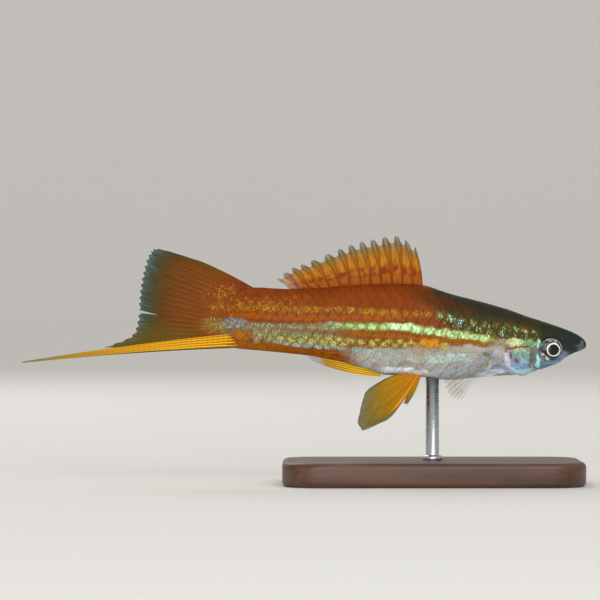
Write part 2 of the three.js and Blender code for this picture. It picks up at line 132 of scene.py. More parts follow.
def curve_through(points, x):
    """A smooth curve through (x, y) points that never overshoots them."""
    xs, ys = np.array(points, float).T
    width = np.diff(xs)
    rise = np.diff(ys) / width
    slope = np.empty_like(ys)
    slope[0], slope[-1] = rise[0], rise[-1]
    product, total = rise[:-1] * rise[1:], rise[:-1] + rise[1:]
    slope[1:-1] = np.where(product > 0, 2 * product / np.where(product > 0, total, 1), 0)
    i = np.clip(np.searchsorted(xs, x, side="right") - 1, 0, len(xs) - 2)
    t = np.clip((x - xs[i]) / width[i], 0, 1)
    t2, t3 = t * t, t * t * t
    ends = (2 * t3 - 3 * t2 + 1) * ys[i] + (3 * t2 - 2 * t3) * ys[i + 1]
    return ends + ((t3 - 2 * t2 + t) * slope[i] + (t3 - t2) * slope[i + 1]) * width[i]


def at(behind, above, y=0.0):
    """The point of the part's frame at a distance behind the lips and a height above the snout."""
    behind, above, y = np.broadcast_arrays(behind, above, y)
    return np.stack([SNOUT_X - behind, y, SNOUT_Z + above], -1).astype(float)


def spline(points, u):
    """Points along a smooth curve through a few points, at shares u of the way."""
    points = np.array(points, float)
    ends = [2 * points[0] - points[1], *points, 2 * points[-1] - points[-2]]
    padded = np.array(ends)
    place = np.clip(np.asarray(u, float), 0, 1) * (len(points) - 1)
    i = np.minimum(place.astype(int), len(points) - 2)
    t = (place - i)[..., None]
    p0, p1, p2, p3 = (padded[i + k] for k in range(4))
    return 0.5 * (2 * p1 + (p2 - p0) * t + (2 * p0 - 5 * p1 + 4 * p2 - p3) * t**2
                  + (3 * p1 - p0 - 3 * p2 + p3) * t**3)


def body_point(behind, degrees, grow=0.0):
    """A point of the body's surface: angle 0 is the left side, 90 the back and 270 the belly."""
    c, s = np.cos(np.radians(degrees)), np.sin(np.radians(degrees))
    top = curve_through(BACK_ABOVE_SNOUT, behind) + grow
    bottom = -curve_through(BELLY_BELOW_SNOUT, behind) - grow
    squareness = np.where(s > 0, curve_through(BACK_SQUARENESS, behind),
                          curve_through(BELLY_SQUARENESS, behind))
    power = 2 / squareness
    y = (curve_through(HALF_WIDTH, behind) + grow) * np.sign(c) * np.abs(c) ** power
    above = (top + bottom) / 2 + (top - bottom) / 2 * np.sign(s) * np.abs(s) ** power
    return at(behind, above, y)


def even_angles(behind, count):
    """Angles that part one ring of the body into equal lengths, from the belly round to the belly."""
    fine = np.linspace(-90, 270, 4 * 360 + 1)  # four to a degree
    ring = body_point(np.full(fine.shape, behind), fine)
    steps = np.linalg.norm(np.diff(ring, axis=0), axis=1)
    length = np.concatenate([[0], np.cumsum(steps)])
    return np.interp(np.arange(count) / count * length[-1], length, fine)


def along_share(behind):
    """The place of a distance behind the lips on the skin's unwrap, from 0 to 1."""
    return CAP_MARGIN + (1 - 2 * CAP_MARGIN) * np.asarray(behind) / BODY_LENGTH


def segment_distance(behind, above, start, end):
    """The distance from a straight line between two places."""
    (b, a), (along, up) = start, np.subtract(end, start)
    t = np.clip(((behind - b) * along + (above - a) * up) / (along**2 + up**2), 0, 1)
    return np.hypot(behind - b - t * along, above - a - t * up)


def gill_edge_share(behind, above):
    """1 along the gill cover's free edge, less inside and more outside."""
    (b, a), (along, up), power = GILL_EDGE["centre"], GILL_EDGE["reach"], GILL_EDGE["power"]
    back = np.maximum(behind - b, 0) / along
    return (back**power + np.abs((above - a) / up) ** power) ** (1 / power)


# Ridges and grooves in the skin of the head, each as (place, rise, width). A groove's rise is below 0.
MOUTH_LINES = [(0, -0.22, 0.08), (0.95, -0.08, 0.14), (-0.68, -0.064, 0.12)]  # the cut and its two creases
LIPS = [(0.42, 0.1, 0.3), (-0.3, 0.1, 0.2)]
JAW_CREASE = (0, -0.08, 0.13)
NOSTRIL_RIM = (0.3, 0.06, 0.09)
EYE_RIM = (0.34, 0.06, 0.15)  # its place is past the eye's radius
GILL_GROOVE = (1.05, -0.09, 0.028)  # its place is a share of the gill cover's edge
CHEEK_GROOVE = (0, -0.08, 0.14)
THROAT_GROOVE = (0.14, -0.09, 0.13)
# Stretches over which a form fades in and out again, each as four places
MOUTH_STRETCH = (0.1, 0.8, 1.9, 2.5)
LIP_STRETCH = (0, 0.5, 0.9, 2.1)
GILL_FLAP_STRETCH = (0.7, 0.96, 0.985, 1.035)
THROAT_STRETCH = (3.2, 4.6, 9.5, 12)
NOSTRILS = [(2.6, 56, 0.2), (3.35, 52, 0.14)]  # distance behind the lips, angle round the body, depth
NOSTRIL_WIDTH = 0.16
SOCKET_DEPTH = 0.8
SOCKET_WALL = (-0.25, 0.16)  # from inside the eye's radius to outside it
GILL_FLAP_RISE = 0.16
CHEEK_BEND = {"centre": (7.2, -2.2), "radius": 2.15}  # the groove runs down behind the eye and bends forward
CHEEK = {"centre": (7.9, -2.2), "reach": (1.6, 1.4), "rise": 0.07}
THROAT_WIDENS = 0.06  # for each mm behind the lips


def mouth_relief(behind, above):
    """The cut of the mouth, its two full lips and the creases behind them."""
    slope = (MOUTH_FRONT_ABOVE - MOUTH_CORNER[1]) / MOUTH_CORNER[0]
    over = above - (MOUTH_FRONT_ABOVE - slope * behind)
    relief = within(MOUTH_STRETCH, behind) * ridges(over, *MOUTH_LINES)
    relief += within(LIP_STRETCH, behind) * ridges(over, *LIPS)
    return relief + ridges(segment_distance(behind, above, MOUTH_CORNER, JAW_HINGE), JAW_CREASE)


def nostril_relief(points):
    """Two small pits on each side of the snout, with raised rims."""
    relief = np.zeros(points.shape[:-1])
    for behind, degrees, depth in NOSTRILS:
        for angle in (degrees, 180 - degrees):
            distance = np.linalg.norm(points - body_point(behind, angle), axis=-1)
            relief += ridges(distance, NOSTRIL_RIM, (0, -depth, NOSTRIL_WIDTH))
    return relief


def eye_relief(behind, above, y):
    """The socket that the eye sits in, and the low rim round it."""
    outside = np.hypot(behind - EYE_BEHIND, above + EYE_BELOW_SNOUT) - EYE_RADIUS
    beside = smooth(0.5, 1.2, np.abs(y))
    socket = -SOCKET_DEPTH * (1 - smooth(*SOCKET_WALL, outside))
    return beside * (socket + ridges(outside, EYE_RIM))


def gill_relief(behind, above):
    """The free edge of the gill cover, and the groove in front of it that bends forward under the eye."""
    share = gill_edge_share(behind, above)
    flap = GILL_FLAP_RISE * within(GILL_FLAP_STRETCH, share) + ridges(share, GILL_GROOVE)
    (b, a), radius = CHEEK_BEND["centre"], CHEEK_BEND["radius"]
    bend = np.where(above > a, np.abs(behind - b - radius), np.abs(np.hypot(behind - b, above - a) - radius))
    reach = smooth(6.0, 7.6, behind) * (1 - smooth(0.4, 1.3, above))
    (b, a), (along, up) = CHEEK["centre"], CHEEK["reach"]
    cheek = CHEEK["rise"] * bump(np.hypot((behind - b) / along, (above - a) / up), 1)
    return smooth(8.4, 10.2, behind) * flap + ridges(bend, CHEEK_GROOVE) * reach + cheek


def throat_relief(behind, above, y):
    """Grooves on the underside of the head, beside the narrow strip between the gill covers."""
    low = 1 - smooth(0.4, 1.4, above + curve_through(BELLY_BELOW_SNOUT, behind))
    return ridges(np.abs(y) - THROAT_WIDENS * behind, THROAT_GROOVE) * low * within(THROAT_STRETCH, behind)


# Meshes

def new_object(name, mesh):
    """Puts a mesh into the scene under its name."""
    thing = bpy.data.objects.new(name, mesh)
    bpy.context.scene.collection.objects.link(thing)
    return thing


def mesh_from(name, points, faces, uvs=None, attributes=None):
    """A smooth mesh from points in mm. uvs has a pair for each corner, attributes a value for each point."""
    mesh = bpy.data.meshes.new(name)
    mesh.from_pydata((np.asarray(points) * MM).tolist(), [], [list(map(int, f)) for f in faces])
    mesh.polygons.foreach_set("use_smooth", [True] * len(mesh.polygons))
    if uvs is not None:
        layer = mesh.uv_layers.new(name="OFBake")
        layer.data.foreach_set("uv", np.asarray(uvs, np.float32).ravel())
    for key, values in (attributes or {}).items():
        values = np.asarray(values, np.float32)
        kind, field = ("FLOAT", "value") if values.ndim == 1 else ("FLOAT_VECTOR", "vector")
        mesh.attributes.new(key, kind, "POINT").data.foreach_set(field, values.ravel())
    mesh.update()
    return mesh


def grid_faces(rows, columns, closed=False):
    """Quads of a grid of points, and each corner's (row, column). Closed, its last column meets its first."""
    width = columns if closed else columns - 1
    row, column = np.meshgrid(np.arange(rows - 1), np.arange(width), indexing="ij")
    corners = [(row, column), (row, column + 1), (row + 1, column + 1), (row + 1, column)]
    faces = np.stack([r * columns + c % columns for r, c in corners], -1).reshape(-1, 4)
    places = np.stack([np.stack(pair, -1) for pair in corners], -2).reshape(-1, 2)
    return faces, places


def revolve(name, profile, centre, axis, count):
    """A closed turned shape. profile is (radius, height) from one end of the axis to the other, in mm."""
    axis = np.array(axis, float)
    across = np.cross(axis, [1, 0, 0] if abs(axis[0]) < 0.9 else [0, 1, 0])
    across /= np.linalg.norm(across)
    turns = np.linspace(0, 2 * math.pi, count, endpoint=False)
    ring = np.cos(turns)[:, None] * across + np.sin(turns)[:, None] * np.cross(axis, across)
    middle = [p for p in profile if p[0] > 0]
    points = [np.array(centre) + axis * h + ring * r for r, h in middle]
    points = np.concatenate([*points, [np.array(centre) + axis * profile[0][1]],
                             [np.array(centre) + axis * profile[-1][1]]])
    faces, _ = grid_faces(len(middle), count, closed=True)
    first, last = len(points) - 2, len(points) - 1
    ends = [[first, (j + 1) % count, j] for j in range(count)]
    base = (len(middle) - 1) * count
    ends += [[last, base + j, base + (j + 1) % count] for j in range(count)]
    mesh = mesh_from(name, points, [*faces, *ends])
    turn_out(mesh)
    return new_object(name, mesh)


def turn_out(mesh):
    """Turns every face of a closed mesh to point outwards."""
    points = np.empty(len(mesh.vertices) * 3)
    mesh.vertices.foreach_get("co", points)
    points = points.reshape(-1, 3)
    mesh.calc_loop_triangles()
    corners = np.empty(len(mesh.loop_triangles) * 3, int)
    mesh.loop_triangles.foreach_get("vertices", corners)
    a, b, c = (points[corners.reshape(-1, 3)[:, k]] for k in range(3))
    if np.einsum("ij,ij->i", a, np.cross(b, c)).sum() < 0:
        mesh.flip_normals()


def finish_piece(piece, look, slot_name, *nodes):
    """Gives a piece its material, sets it on the frame and hides the nodes that it stands for."""
    piece.data.materials.clear()
    piece.data.materials.append(look)
    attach(piece, "root")
    if nodes:
        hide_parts(*nodes)
    return piece


# Materials

def linear(hex_colour):
    """An sRGB hex colour, such as a8501c, as the linear colour that a shader takes."""
    channels = [int(hex_colour[i:i + 2], 16) / 255 for i in (0, 2, 4)]
    return (*[c / 12.92 if c <= 0.04045 else ((c + 0.055) / 1.055) ** 2.4 for c in channels], 1.0)


def add(tree, kind, inputs=None, out=0, stops=(), points=(), **settings):
    """Adds a node with its settings and links, and returns one of its outputs. A ramp's stops are (place, hex
    colour or grey value) pairs, and a curve's points are (x, y) pairs."""
    node = tree.nodes.new(kind)
    for key, value in settings.items():
        setattr(node, key, value)
    for key, value in (inputs or {}).items():
        if isinstance(value, bpy.types.NodeSocket):
            tree.links.new(value, node.inputs[key])
        else:
            node.inputs[key].default_value = value
    for k, (place, value) in enumerate(stops):
        marks = node.color_ramp.elements
        mark = marks[k] if k < 2 else marks.new(place)
        mark.position = place
        mark.color = linear(value) if isinstance(value, str) else (value, value, value, 1)
    for k, point in enumerate(points):
        line = node.mapping.curves[0].points
        if k < 2:
            line[k].location = point
        else:
            line.new(*point)
    if points:
        node.mapping.update()
    return node.outputs[out] if node.outputs else node


def new_material(name, **settings):
    """A material with a Principled shader, whose plain values are given by socket name."""
    look = bpy.data.materials.new(name)
    look.use_nodes = True
    shader = look.node_tree.nodes["Principled BSDF"]
    for key, value in settings.items():
        shader.inputs[key.replace("_", " ")].default_value = value
    return look, look.node_tree, shader


def plug(shader, **outputs):
    """Links outputs to the shader's sockets, by the sockets' names."""
    for key, output in outputs.items():
        shader.id_data.links.new(output, shader.inputs[key.replace("_", " ")])


# How often each pattern repeats over a metre, from the size of what it shows
FLECKS = 4200.0  # flecks of pigment, 0.24 mm across
WAVES = 650.0  # the markings' wavy edges, 1.5 mm long
SKIN_GRAIN = 2600.0  # pores, finer in life and drawn 0.4 mm across so that they show
SCALE_GRAIN = 3000.0  # growth lines, finer in life and drawn 0.3 mm apart so that they show
IRIS_WISPS, IRIS_GAPS = 1500.0, 1000.0  # 0.7 and 1 mm
WALNUT_PORES, WALNUT_BANDS = 700.0, 160.0  # pores drawn 1.4 mm across so that they show, growth bands of 6 mm
BRUSH_LINES = 900.0  # pressed to 0.08 mm along the rod
PAPER_TOOTH = 900.0  # 1.1 mm
WAVER = 1.3  # how far the edges of the markings stray, in mm

LINE_LOW, LINE_HIGH = -15.0, 15.0  # heights that the markings' curves can take
ON_LINE, ABOVE_LINE, BELOW_LINE = 0, 1, -1
LINE_CORE = 0.3  # share of a line's width over which it is at full strength
PATCH_FADE = {1: 0.2, 2: 1.2}  # where a patch fades, as squares of the distance from its centre
# Where pigment breaks up into flecks. With beads they have softer edges.
FLECK_EDGES = {False: {1: 0.98, 2: 1.18}, True: {1: 0.82, 2: 1.2}}
# Without clamping a smooth step costs the renderer far less memory, and it stays from 0 to 1 all the same.
SMOOTH_STEP = {"interpolation_type": "SMOOTHSTEP", "clamp": False}


def stripe(name, line, width, fade, colours, strength, broken, gleam, side=ON_LINE, beads=False):
    """A marking that follows a line of (behind, above) points. It fills the line or all that is over or under
    it, fades in and out at four places along the body, and breaks up into flecks of two colours. With beads,
    the flecks gather at the middle of each scale."""
    return {"name": name, "line": line, "width": width, "fade": fade, "colours": colours,
            "strength": strength, "broken": broken, "gleam": gleam, "side": side, "beads": beads}


def patch(name, centre, radii, degrees, colours, strength, broken, gleam):
    """A marking that fills a turned ellipse."""
    return {"name": name, "centre": centre, "radii": radii, "degrees": degrees, "colours": colours,
            "strength": strength, "broken": broken, "gleam": gleam, "beads": False}


MARKINGS = [
    stripe("red by the dorsal fin", [(24, 9.6), (31, 10.3), (46, 9.6), (60, 9.4)], 2.4, (24, 29, 56, 60),
           ("78300a", "7e3608"), 0.7, 0.1, 0),
    stripe("gold over the stalk", [(42, 7.2), (50, 7.0), (60, 6.4)], 2.6, (40, 50, 62, 66),
           ("b0741a", "94580c"), 0.42, 0.9, 0.2),
    stripe("red line over", [(24, 4.4), (34, 4.55), (48, 4.6), (58, 5.1)], 0.62, (28, 35, 57, 62),
           ("a04404", "a45c08"), 0.85, 0.2, 0),
    stripe("gold dust", [(24, 4.9), (29, 5.1), (34, 5.5), (46, 5.9), (58, 6.3)], 1.0, (21, 27, 58, 63),
           ("9c640a", "a47a18"), 0.6, 0.75, 0.2),
    stripe("belly", [(-1, -0.9), (4, -1.4), (9, -1.3), (14, -0.9), (19.3, -0.8), (24.3, -1.2), (34.3, -1.3),
                     (38, -1.5), (44, -2.0)], 1.5, (-9, -8, 37, 43), ("b8b098", "aeb4b4"), 0.97, 0.5, 0.03,
           BELOW_LINE),
    stripe("stalk's grey", [(36, 1.6), (44, 2.1), (52, 2.3), (60, 2.6)], 1.9, (34, 43, 60, 63),
           ("78684a", "847c54"), 0.7, 0.4, 0.05),
    stripe("pale stalk", [(36, 0.2), (44, 0.9), (52, 1.5), (56, 1.9)], 1.5, (34, 42, 53, 57),
           ("7c8050", "9ca470"), 0.7, 0.75, 0.25),
    stripe("olive nape", [(-1, -1.0), (1.8, -1.0), (4, -1.35), (5.6, -0.9), (7.4, 0.6), (8.0, 1.6),
                          (9.6, 2.7), (12.7, 4.0), (17.7, 4.4), (21, 5.4), (22.7, 6.2), (24.3, 7.5),
                          (26, 9.2)],
           0.7, (-9, -8, 25, 27), ("242a22", "2e2d20"), 0.98, 0.06, 0, ABOVE_LINE),
    patch("teal brow", (2.5, 1.5), (3.6, 2.2), 25, ("1e2c2a", "243430"), 0.7, 0.2, 0),
    stripe("maroon shoulder", [(18, 4.6), (21, 5.6), (25, 7.4), (30, 9.0)], 2.0, (17, 20, 26, 33),
           ("4c280e", "5a300e"), 0.8, 0.3, 0),
    stripe("olive cheek", [(8, 1.8), (12, 2.4), (16, 3.0), (20, 3.6), (25, 5.2)], 2.9, (7.6, 8.4, 22, 27),
           ("32381a", "42380f"), 0.92, 0.25, 0),
    patch("rust spot", (10.3, 3.0), (0.8, 0.75), 0, ("602e18", "502a14"), 0.8, 0.3, 0),
    patch("rust over the mint", (17.4, 2.6), (1.4, 0.5), 8, ("7c3c10", "6c4414"), 0.75, 0.4, 0),
    stripe("green flecks", [(7.8, 1.5), (12, 2.1), (16, 2.8), (20, 3.6), (25, 4.8)], 2.0, (7, 8.4, 24, 28),
           ("74903c", "a0a448"), 0.47, 0.95, 0.2),
    stripe("teal flecks", [(9, 1.5), (16, 2.4), (21, 3.6), (26, 4.8)], 1.7, (8, 9, 25, 28),
           ("5c9a80", "90bca4"), 0.4, 1, 0.2),
    patch("teal spot", (21.4, 3.7), (1.0, 0.9), 0, ("7cb4a4", "b4d4c4"), 0.55, 0.9, 0.2),
    stripe("olive under the mint", [(15.5, 0.9), (18.5, 1.4), (23.5, 2.0), (29, 2.75), (34, 3.05), (42, 3.2)],
           1.1, (13.5, 17, 38, 45), ("84902c", "8c8434"), 0.85, 0.2, 0),
    stripe("mint stripe behind", [(33, 3.05), (36, 3.1), (42, 3.2), (48, 3.2)], 0.85, (31, 33, 41, 45),
           ("a8c868", "b4d8a8"), 0.7, 0.6, 0.2, beads=True),
    stripe("mint stripe", [(15.5, 0.9), (18.5, 1.4), (21, 1.7), (23.5, 2.0), (26, 2.3), (29, 2.75), (31, 3.0),
                           (34, 3.0)], 0.95, (13.5, 17, 32.4, 34.4), ("bcd068", "acdcb4"), 0.74, 0.75, 0.25),
    patch("silver before the mint", (14.3, 0.35), (1.5, 1.0), 0, ("8c9c80", "a8a490"), 0.75, 0.5, 0.15),
    patch("mint glare", (31.0, 3.1), (2.7, 0.75), 0, ("d8f488", "ccf8e0"), 0.86, 0.6, 0.1),
    stripe("blue stripe", [(40, 3.2), (48, 3.2), (60, 3.3)], 0.95, (39, 43, 59, 62),
           ("747252", "98a884"), 0.66, 0.7, 0.25),
    stripe("red line", [(14.3, -0.2), (17, 0.1), (22, 0.7), (26, 1.05), (31, 1.5), (36, 1.75), (41, 1.9),
                        (48, 2.1)], 0.6, (13.5, 17, 37, 44), ("a04806", "a06c20"), 0.88, 0.35, 0),
    stripe("gold ground", [(21, -0.5), (28.5, 0.0), (38, 0.4), (47, 0.6)], 1.4, (19, 24, 40, 50),
           ("985c10", "907434"), 0.62, 0.7, 0.1),
    stripe("gold dots", [(22, -0.4), (28.5, 0.15), (34, 0.4), (40, 0.6), (47, 0.7), (54, 0.9)], 1.0,
           (20, 24, 50, 56), ("a89830", "c4c870"), 0.68, 0.9, 0.25, beads=True),
    patch("orange glow", (26.0, 0.3), (2.4, 0.85), 8, ("d87c08", "d8a428"), 0.82, 0.6, 0.08),
    patch("yellow glow", (28.0, -1.0), (1.8, 1.3), 0, ("c08830", "bca060"), 0.5, 0.5, 0.1),
    patch("yellow green spot", (23.7, -0.7), (0.9, 0.65), 0, ("a8a848", "9ca85c"), 0.7, 0.8, 0.1),
    stripe("silver stripe", [(29, -1.8), (33, -1.3), (38, -0.8), (44, -0.15), (49, 0.2), (54, 0.8)], 0.72,
           (27, 31, 51, 55), ("a4c0a0", "90a49c"), 0.74, 0.65, 0.25, beads=True),
    stripe("stalk's lower edge", [(34, -2.6), (40, -1.9), (46, -1.25), (52, -0.4), (60, 0.3)], 0.8,
           (37, 42, 60, 64), ("944a08", "9c6010"), 0.92, 0.25, 0, BELOW_LINE),
    patch("gold tail root", (61.0, 7.6), (5.5, 4.0), 0, ("a87010", "bc9438"), 0.42, 1, 0.2),
    patch("olive tail root", (62.5, 3.3), (3.6, 1.7), 0, ("746c1c", "a8a450"), 0.66, 0.8, 0.2),
    patch("blue tail root", (58.4, 3.7), (2.8, 1.2), 0, ("62685c", "8c98a0"), 0.74, 0.7, 0.2),
    patch("pale tail root", (54.9, 1.3), (0.9, 1.3), 0, ("948c68", "b0b498"), 0.66, 0.7, 0.2),
    patch("orange spot", (57.3, 1.6), (1.5, 1.2), 0, ("9c5006", "ac7018"), 0.88, 0.25, 0),
    stripe("belly flecks", [(20, -3.2), (28, -2.9), (36, -2.4)], 1.7, (17, 20, 36, 40),
           ("c8d4d8", "b4acb4"), 0.45, 0.85, 0.25),
    patch("pale front belly", (20.5, -3.6), (4.5, 2.4), 0, ("b4c4c0", "bcbcc4"), 0.7, 0.5, 0.1),
    patch("blue belly", (22.0, -5.0), (4.6, 1.3), 3, ("bccadc", "bcc8cc"), 0.85, 0.2, 0.05),
    stripe("white belly line", [(25.5, -4.75), (27.5, -4.5), (30, -4.2), (34.5, -4.2)], 0.7,
           (25, 27, 33, 35.5), ("f4ffff", "ecf8ff"), 0.95, 0.3, 0),
    stripe("sky flecks", [(18.5, -2.4), (22.5, -2.0), (25, -2.3), (28, -2.3)], 1.2, (18, 20, 26.4, 28),
           ("a4d8d0", "d4f4e8"), 0.6, 0.8, 0.15),
    patch("silver shoulder", (15.6, -2.4), (3.4, 2.6), 0, ("a0a4ac", "b4b4c4"), 0.75, 0.45, 0.12),
    stripe("lavender shoulder", [(12.6, -4.0), (15, -4.3), (17.4, -4.9)], 1.4, (12.6, 13.2, 17, 18.6),
           ("a8c8ff", "c8e0fc"), 0.92, 0.35, 0.1),
    stripe("white shoulder streak", [(13.4, -4.2), (16, -4.75), (18.6, -5.05)], 0.6, (13.2, 14.4, 17.8, 18.8),
           ("fcffff", "ecfcff"), 0.95, 0.2, 0),
    patch("olive fin base", (16.9, -1.6), (0.9, 0.5), 10, ("5c5c34", "6c6c40"), 0.8, 0.4, 0),
    patch("pale fin base", (16.7, -3.2), (1.5, 0.3), -45, ("ecf0c8", "d8dcb8"), 0.9, 0.2, 0.1),
    patch("head silver", (6, -2.6), (8.5, 2.3), -10, ("7c8a90", "8c8e98"), 0.92, 0.2, 0.1),
    patch("behind the eye", (8.6, -0.8), (1.7, 2.0), 0, ("64706a", "7c7a74"), 0.9, 0.4, 0.1),
    patch("gill grey", (11.2, -2.0), (2.6, 2.9), 0, ("84908c", "a09ca4"), 0.9, 0.6, 0.15),
    patch("gill green", (10.8, -1.75), (1.7, 1.5), 0, ("84ccb0", "6c9088"), 0.72, 0.9, 0.25),
    patch("gill blue", (11.0, -3.4), (2.2, 1.1), 0, ("90bce0", "9cb0d0"), 0.85, 0.5, 0.15),
    patch("cheek bar", (9.25, -2.2), (0.6, 2.3), 4, ("545c5a", "706e74"), 0.75, 0.5, 0.1),
    patch("rosy cheek", (9.0, -3.6), (0.45, 0.9), 14, ("b8a0ac", "a8a8b0"), 0.7, 0.5, 0.1),
    patch("gill blush above", (12.75, -1.75), (0.32, 0.8), -6, ("5c2c48", "4a2038"), 0.8, 0.4, 0),
    patch("gill blush", (11.9, -2.65), (0.65, 0.5), 0, ("703c50", "6c3c54"), 0.7, 0.7, 0.05),
    stripe("bright gill edge", [(8.9, -4.25), (11, -4.55), (12.3, -4.3), (13.2, -3.6)], 0.85,
           (8.4, 9.4, 13, 13.6), ("ccf8ff", "acdcfc"), 0.95, 0.3, 0.05),
    patch("lilac gill edge", (13.15, -2.9), (0.42, 1.9), -8, ("f0ecff", "ccdcf4"), 0.9, 0.35, 0.05),
    patch("gill gold", (12.1, 0.45), (1.9, 0.9), 0, ("ccd078", "e4ecc8"), 0.88, 0.6, 0.15),
    patch("gill mint", (9.6, 0.35), (1.5, 0.9), 0, ("98c080", "5c9068"), 0.8, 0.85, 0.2),
    patch("mint bar", (8.05, 0.35), (0.5, 1.1), -10, ("88d8a4", "c4f0d0"), 0.8, 0.7, 0.1),
    stripe("brown line", [(9.4, -0.25), (11.5, -0.35), (13.6, -0.45)], 0.34, (9, 9.8, 13, 13.8),
           ("5c3c10", "7c4c14"), 0.8, 0.5, 0),
    patch("gold under the line", (11.4, -0.85), (1.5, 0.4), 0, ("c8cc88", "a8bc80"), 0.75, 0.8, 0.15),
    patch("orange by the gill", (13.55, -0.7), (0.42, 0.75), 0, ("b0561c", "a06030"), 0.8, 0.5, 0),
    stripe("blue jaw", [(1.4, -1.4), (3, -1.75), (4.3, -2.9), (6, -3.3), (8.6, -3.7)], 0.95,
           (1.6, 2.6, 8.2, 9.2), ("5c7cb8", "6494b0"), 0.88, 0.4, 0.1),
    stripe("teal line", [(4.0, -2.55), (5.4, -2.9), (7.4, -3.0)], 0.22, (3.9, 4.6, 6.8, 7.6),
           ("60bcbc", "90d4c8"), 0.75, 0.5, 0.1),
    patch("cyan bar", (8.2, -2.7), (0.46, 1.4), 0, ("a0fcfc", "bcf4e4"), 0.97, 0.35, 0.05),
    patch("dark before the eye", (3.0, -0.5), (2.3, 1.05), 22, ("1c2624", "2c3834"), 0.92, 0.3, 0),
    patch("grey lip", (0.75, 0.1), (0.42, 0.75), -12, ("606a70", "545c62"), 0.8, 0.1, 0),
]


def ellipse_square(tree, marking, behind, above):
    """The square of the distance from a patch's centre, as a share of its radii."""
    (b, a), turn = marking["centre"], math.radians(marking["degrees"])
    square = None
    for radius, along, up in ((marking["radii"][0], math.cos(turn), math.sin(turn)),
                              (marking["radii"][1], -math.sin(turn), math.cos(turn))):
        part = add(tree, "ShaderNodeMath", {0: above, 1: up / radius, 2: -(b * along + a * up) / radius},
                   operation="MULTIPLY_ADD")
        part = add(tree, "ShaderNodeMath", {0: behind, 1: along / radius, 2: part}, operation="MULTIPLY_ADD")
        part = {0: part, 1: part} if square is None else {0: part, 1: part, 2: square}
        square = add(tree, "ShaderNodeMath", part, operation="MULTIPLY" if square is None else "MULTIPLY_ADD")
    return square


def marking_mask(tree, marking, share, behind, above):
    """How much of a marking there is at a place, before it breaks up into flecks."""
    if "centre" in marking:
        square = ellipse_square(tree, marking, behind, above)
        return add(tree, "ShaderNodeMapRange", {0: square, 3: marking["strength"], 4: 0.0, **PATCH_FADE},
                   **SMOOTH_STEP)
    reach = LINE_HIGH - LINE_LOW
    points = [(b / BODY_LENGTH, (a - LINE_LOW) / reach) for b, a in marking["line"]]
    line = add(tree, "ShaderNodeFloatCurve", {"Value": share}, points=points)
    line = add(tree, "ShaderNodeMath", {0: line, 1: reach, 2: LINE_LOW}, operation="MULTIPLY_ADD")
    ends = {0: line, 1: above} if marking["side"] == ABOVE_LINE else {0: above, 1: line}
    away = add(tree, "ShaderNodeMath", ends, operation="SUBTRACT")
    if marking["side"] == ON_LINE:
        away = add(tree, "ShaderNodeMath", {0: away}, operation="ABSOLUTE")
    width, (enters, entered, leaves, left) = marking["width"], marking["fade"]
    mask = add(tree, "ShaderNodeMapRange",
               {0: away, 1: LINE_CORE * width, 2: width, 3: marking["strength"], 4: 0.0}, **SMOOTH_STEP)
    enter = add(tree, "ShaderNodeMapRange", {0: behind, 1: enters, 2: entered}, **SMOOTH_STEP)
    leave = add(tree, "ShaderNodeMapRange", {0: behind, 1: leaves, 2: left, 3: 1.0, 4: 0.0}, **SMOOTH_STEP)
    mask = add(tree, "ShaderNodeMath", {0: mask, 1: enter}, operation="MULTIPLY")
    return add(tree, "ShaderNodeMath", {0: mask, 1: leave}, operation="MULTIPLY")


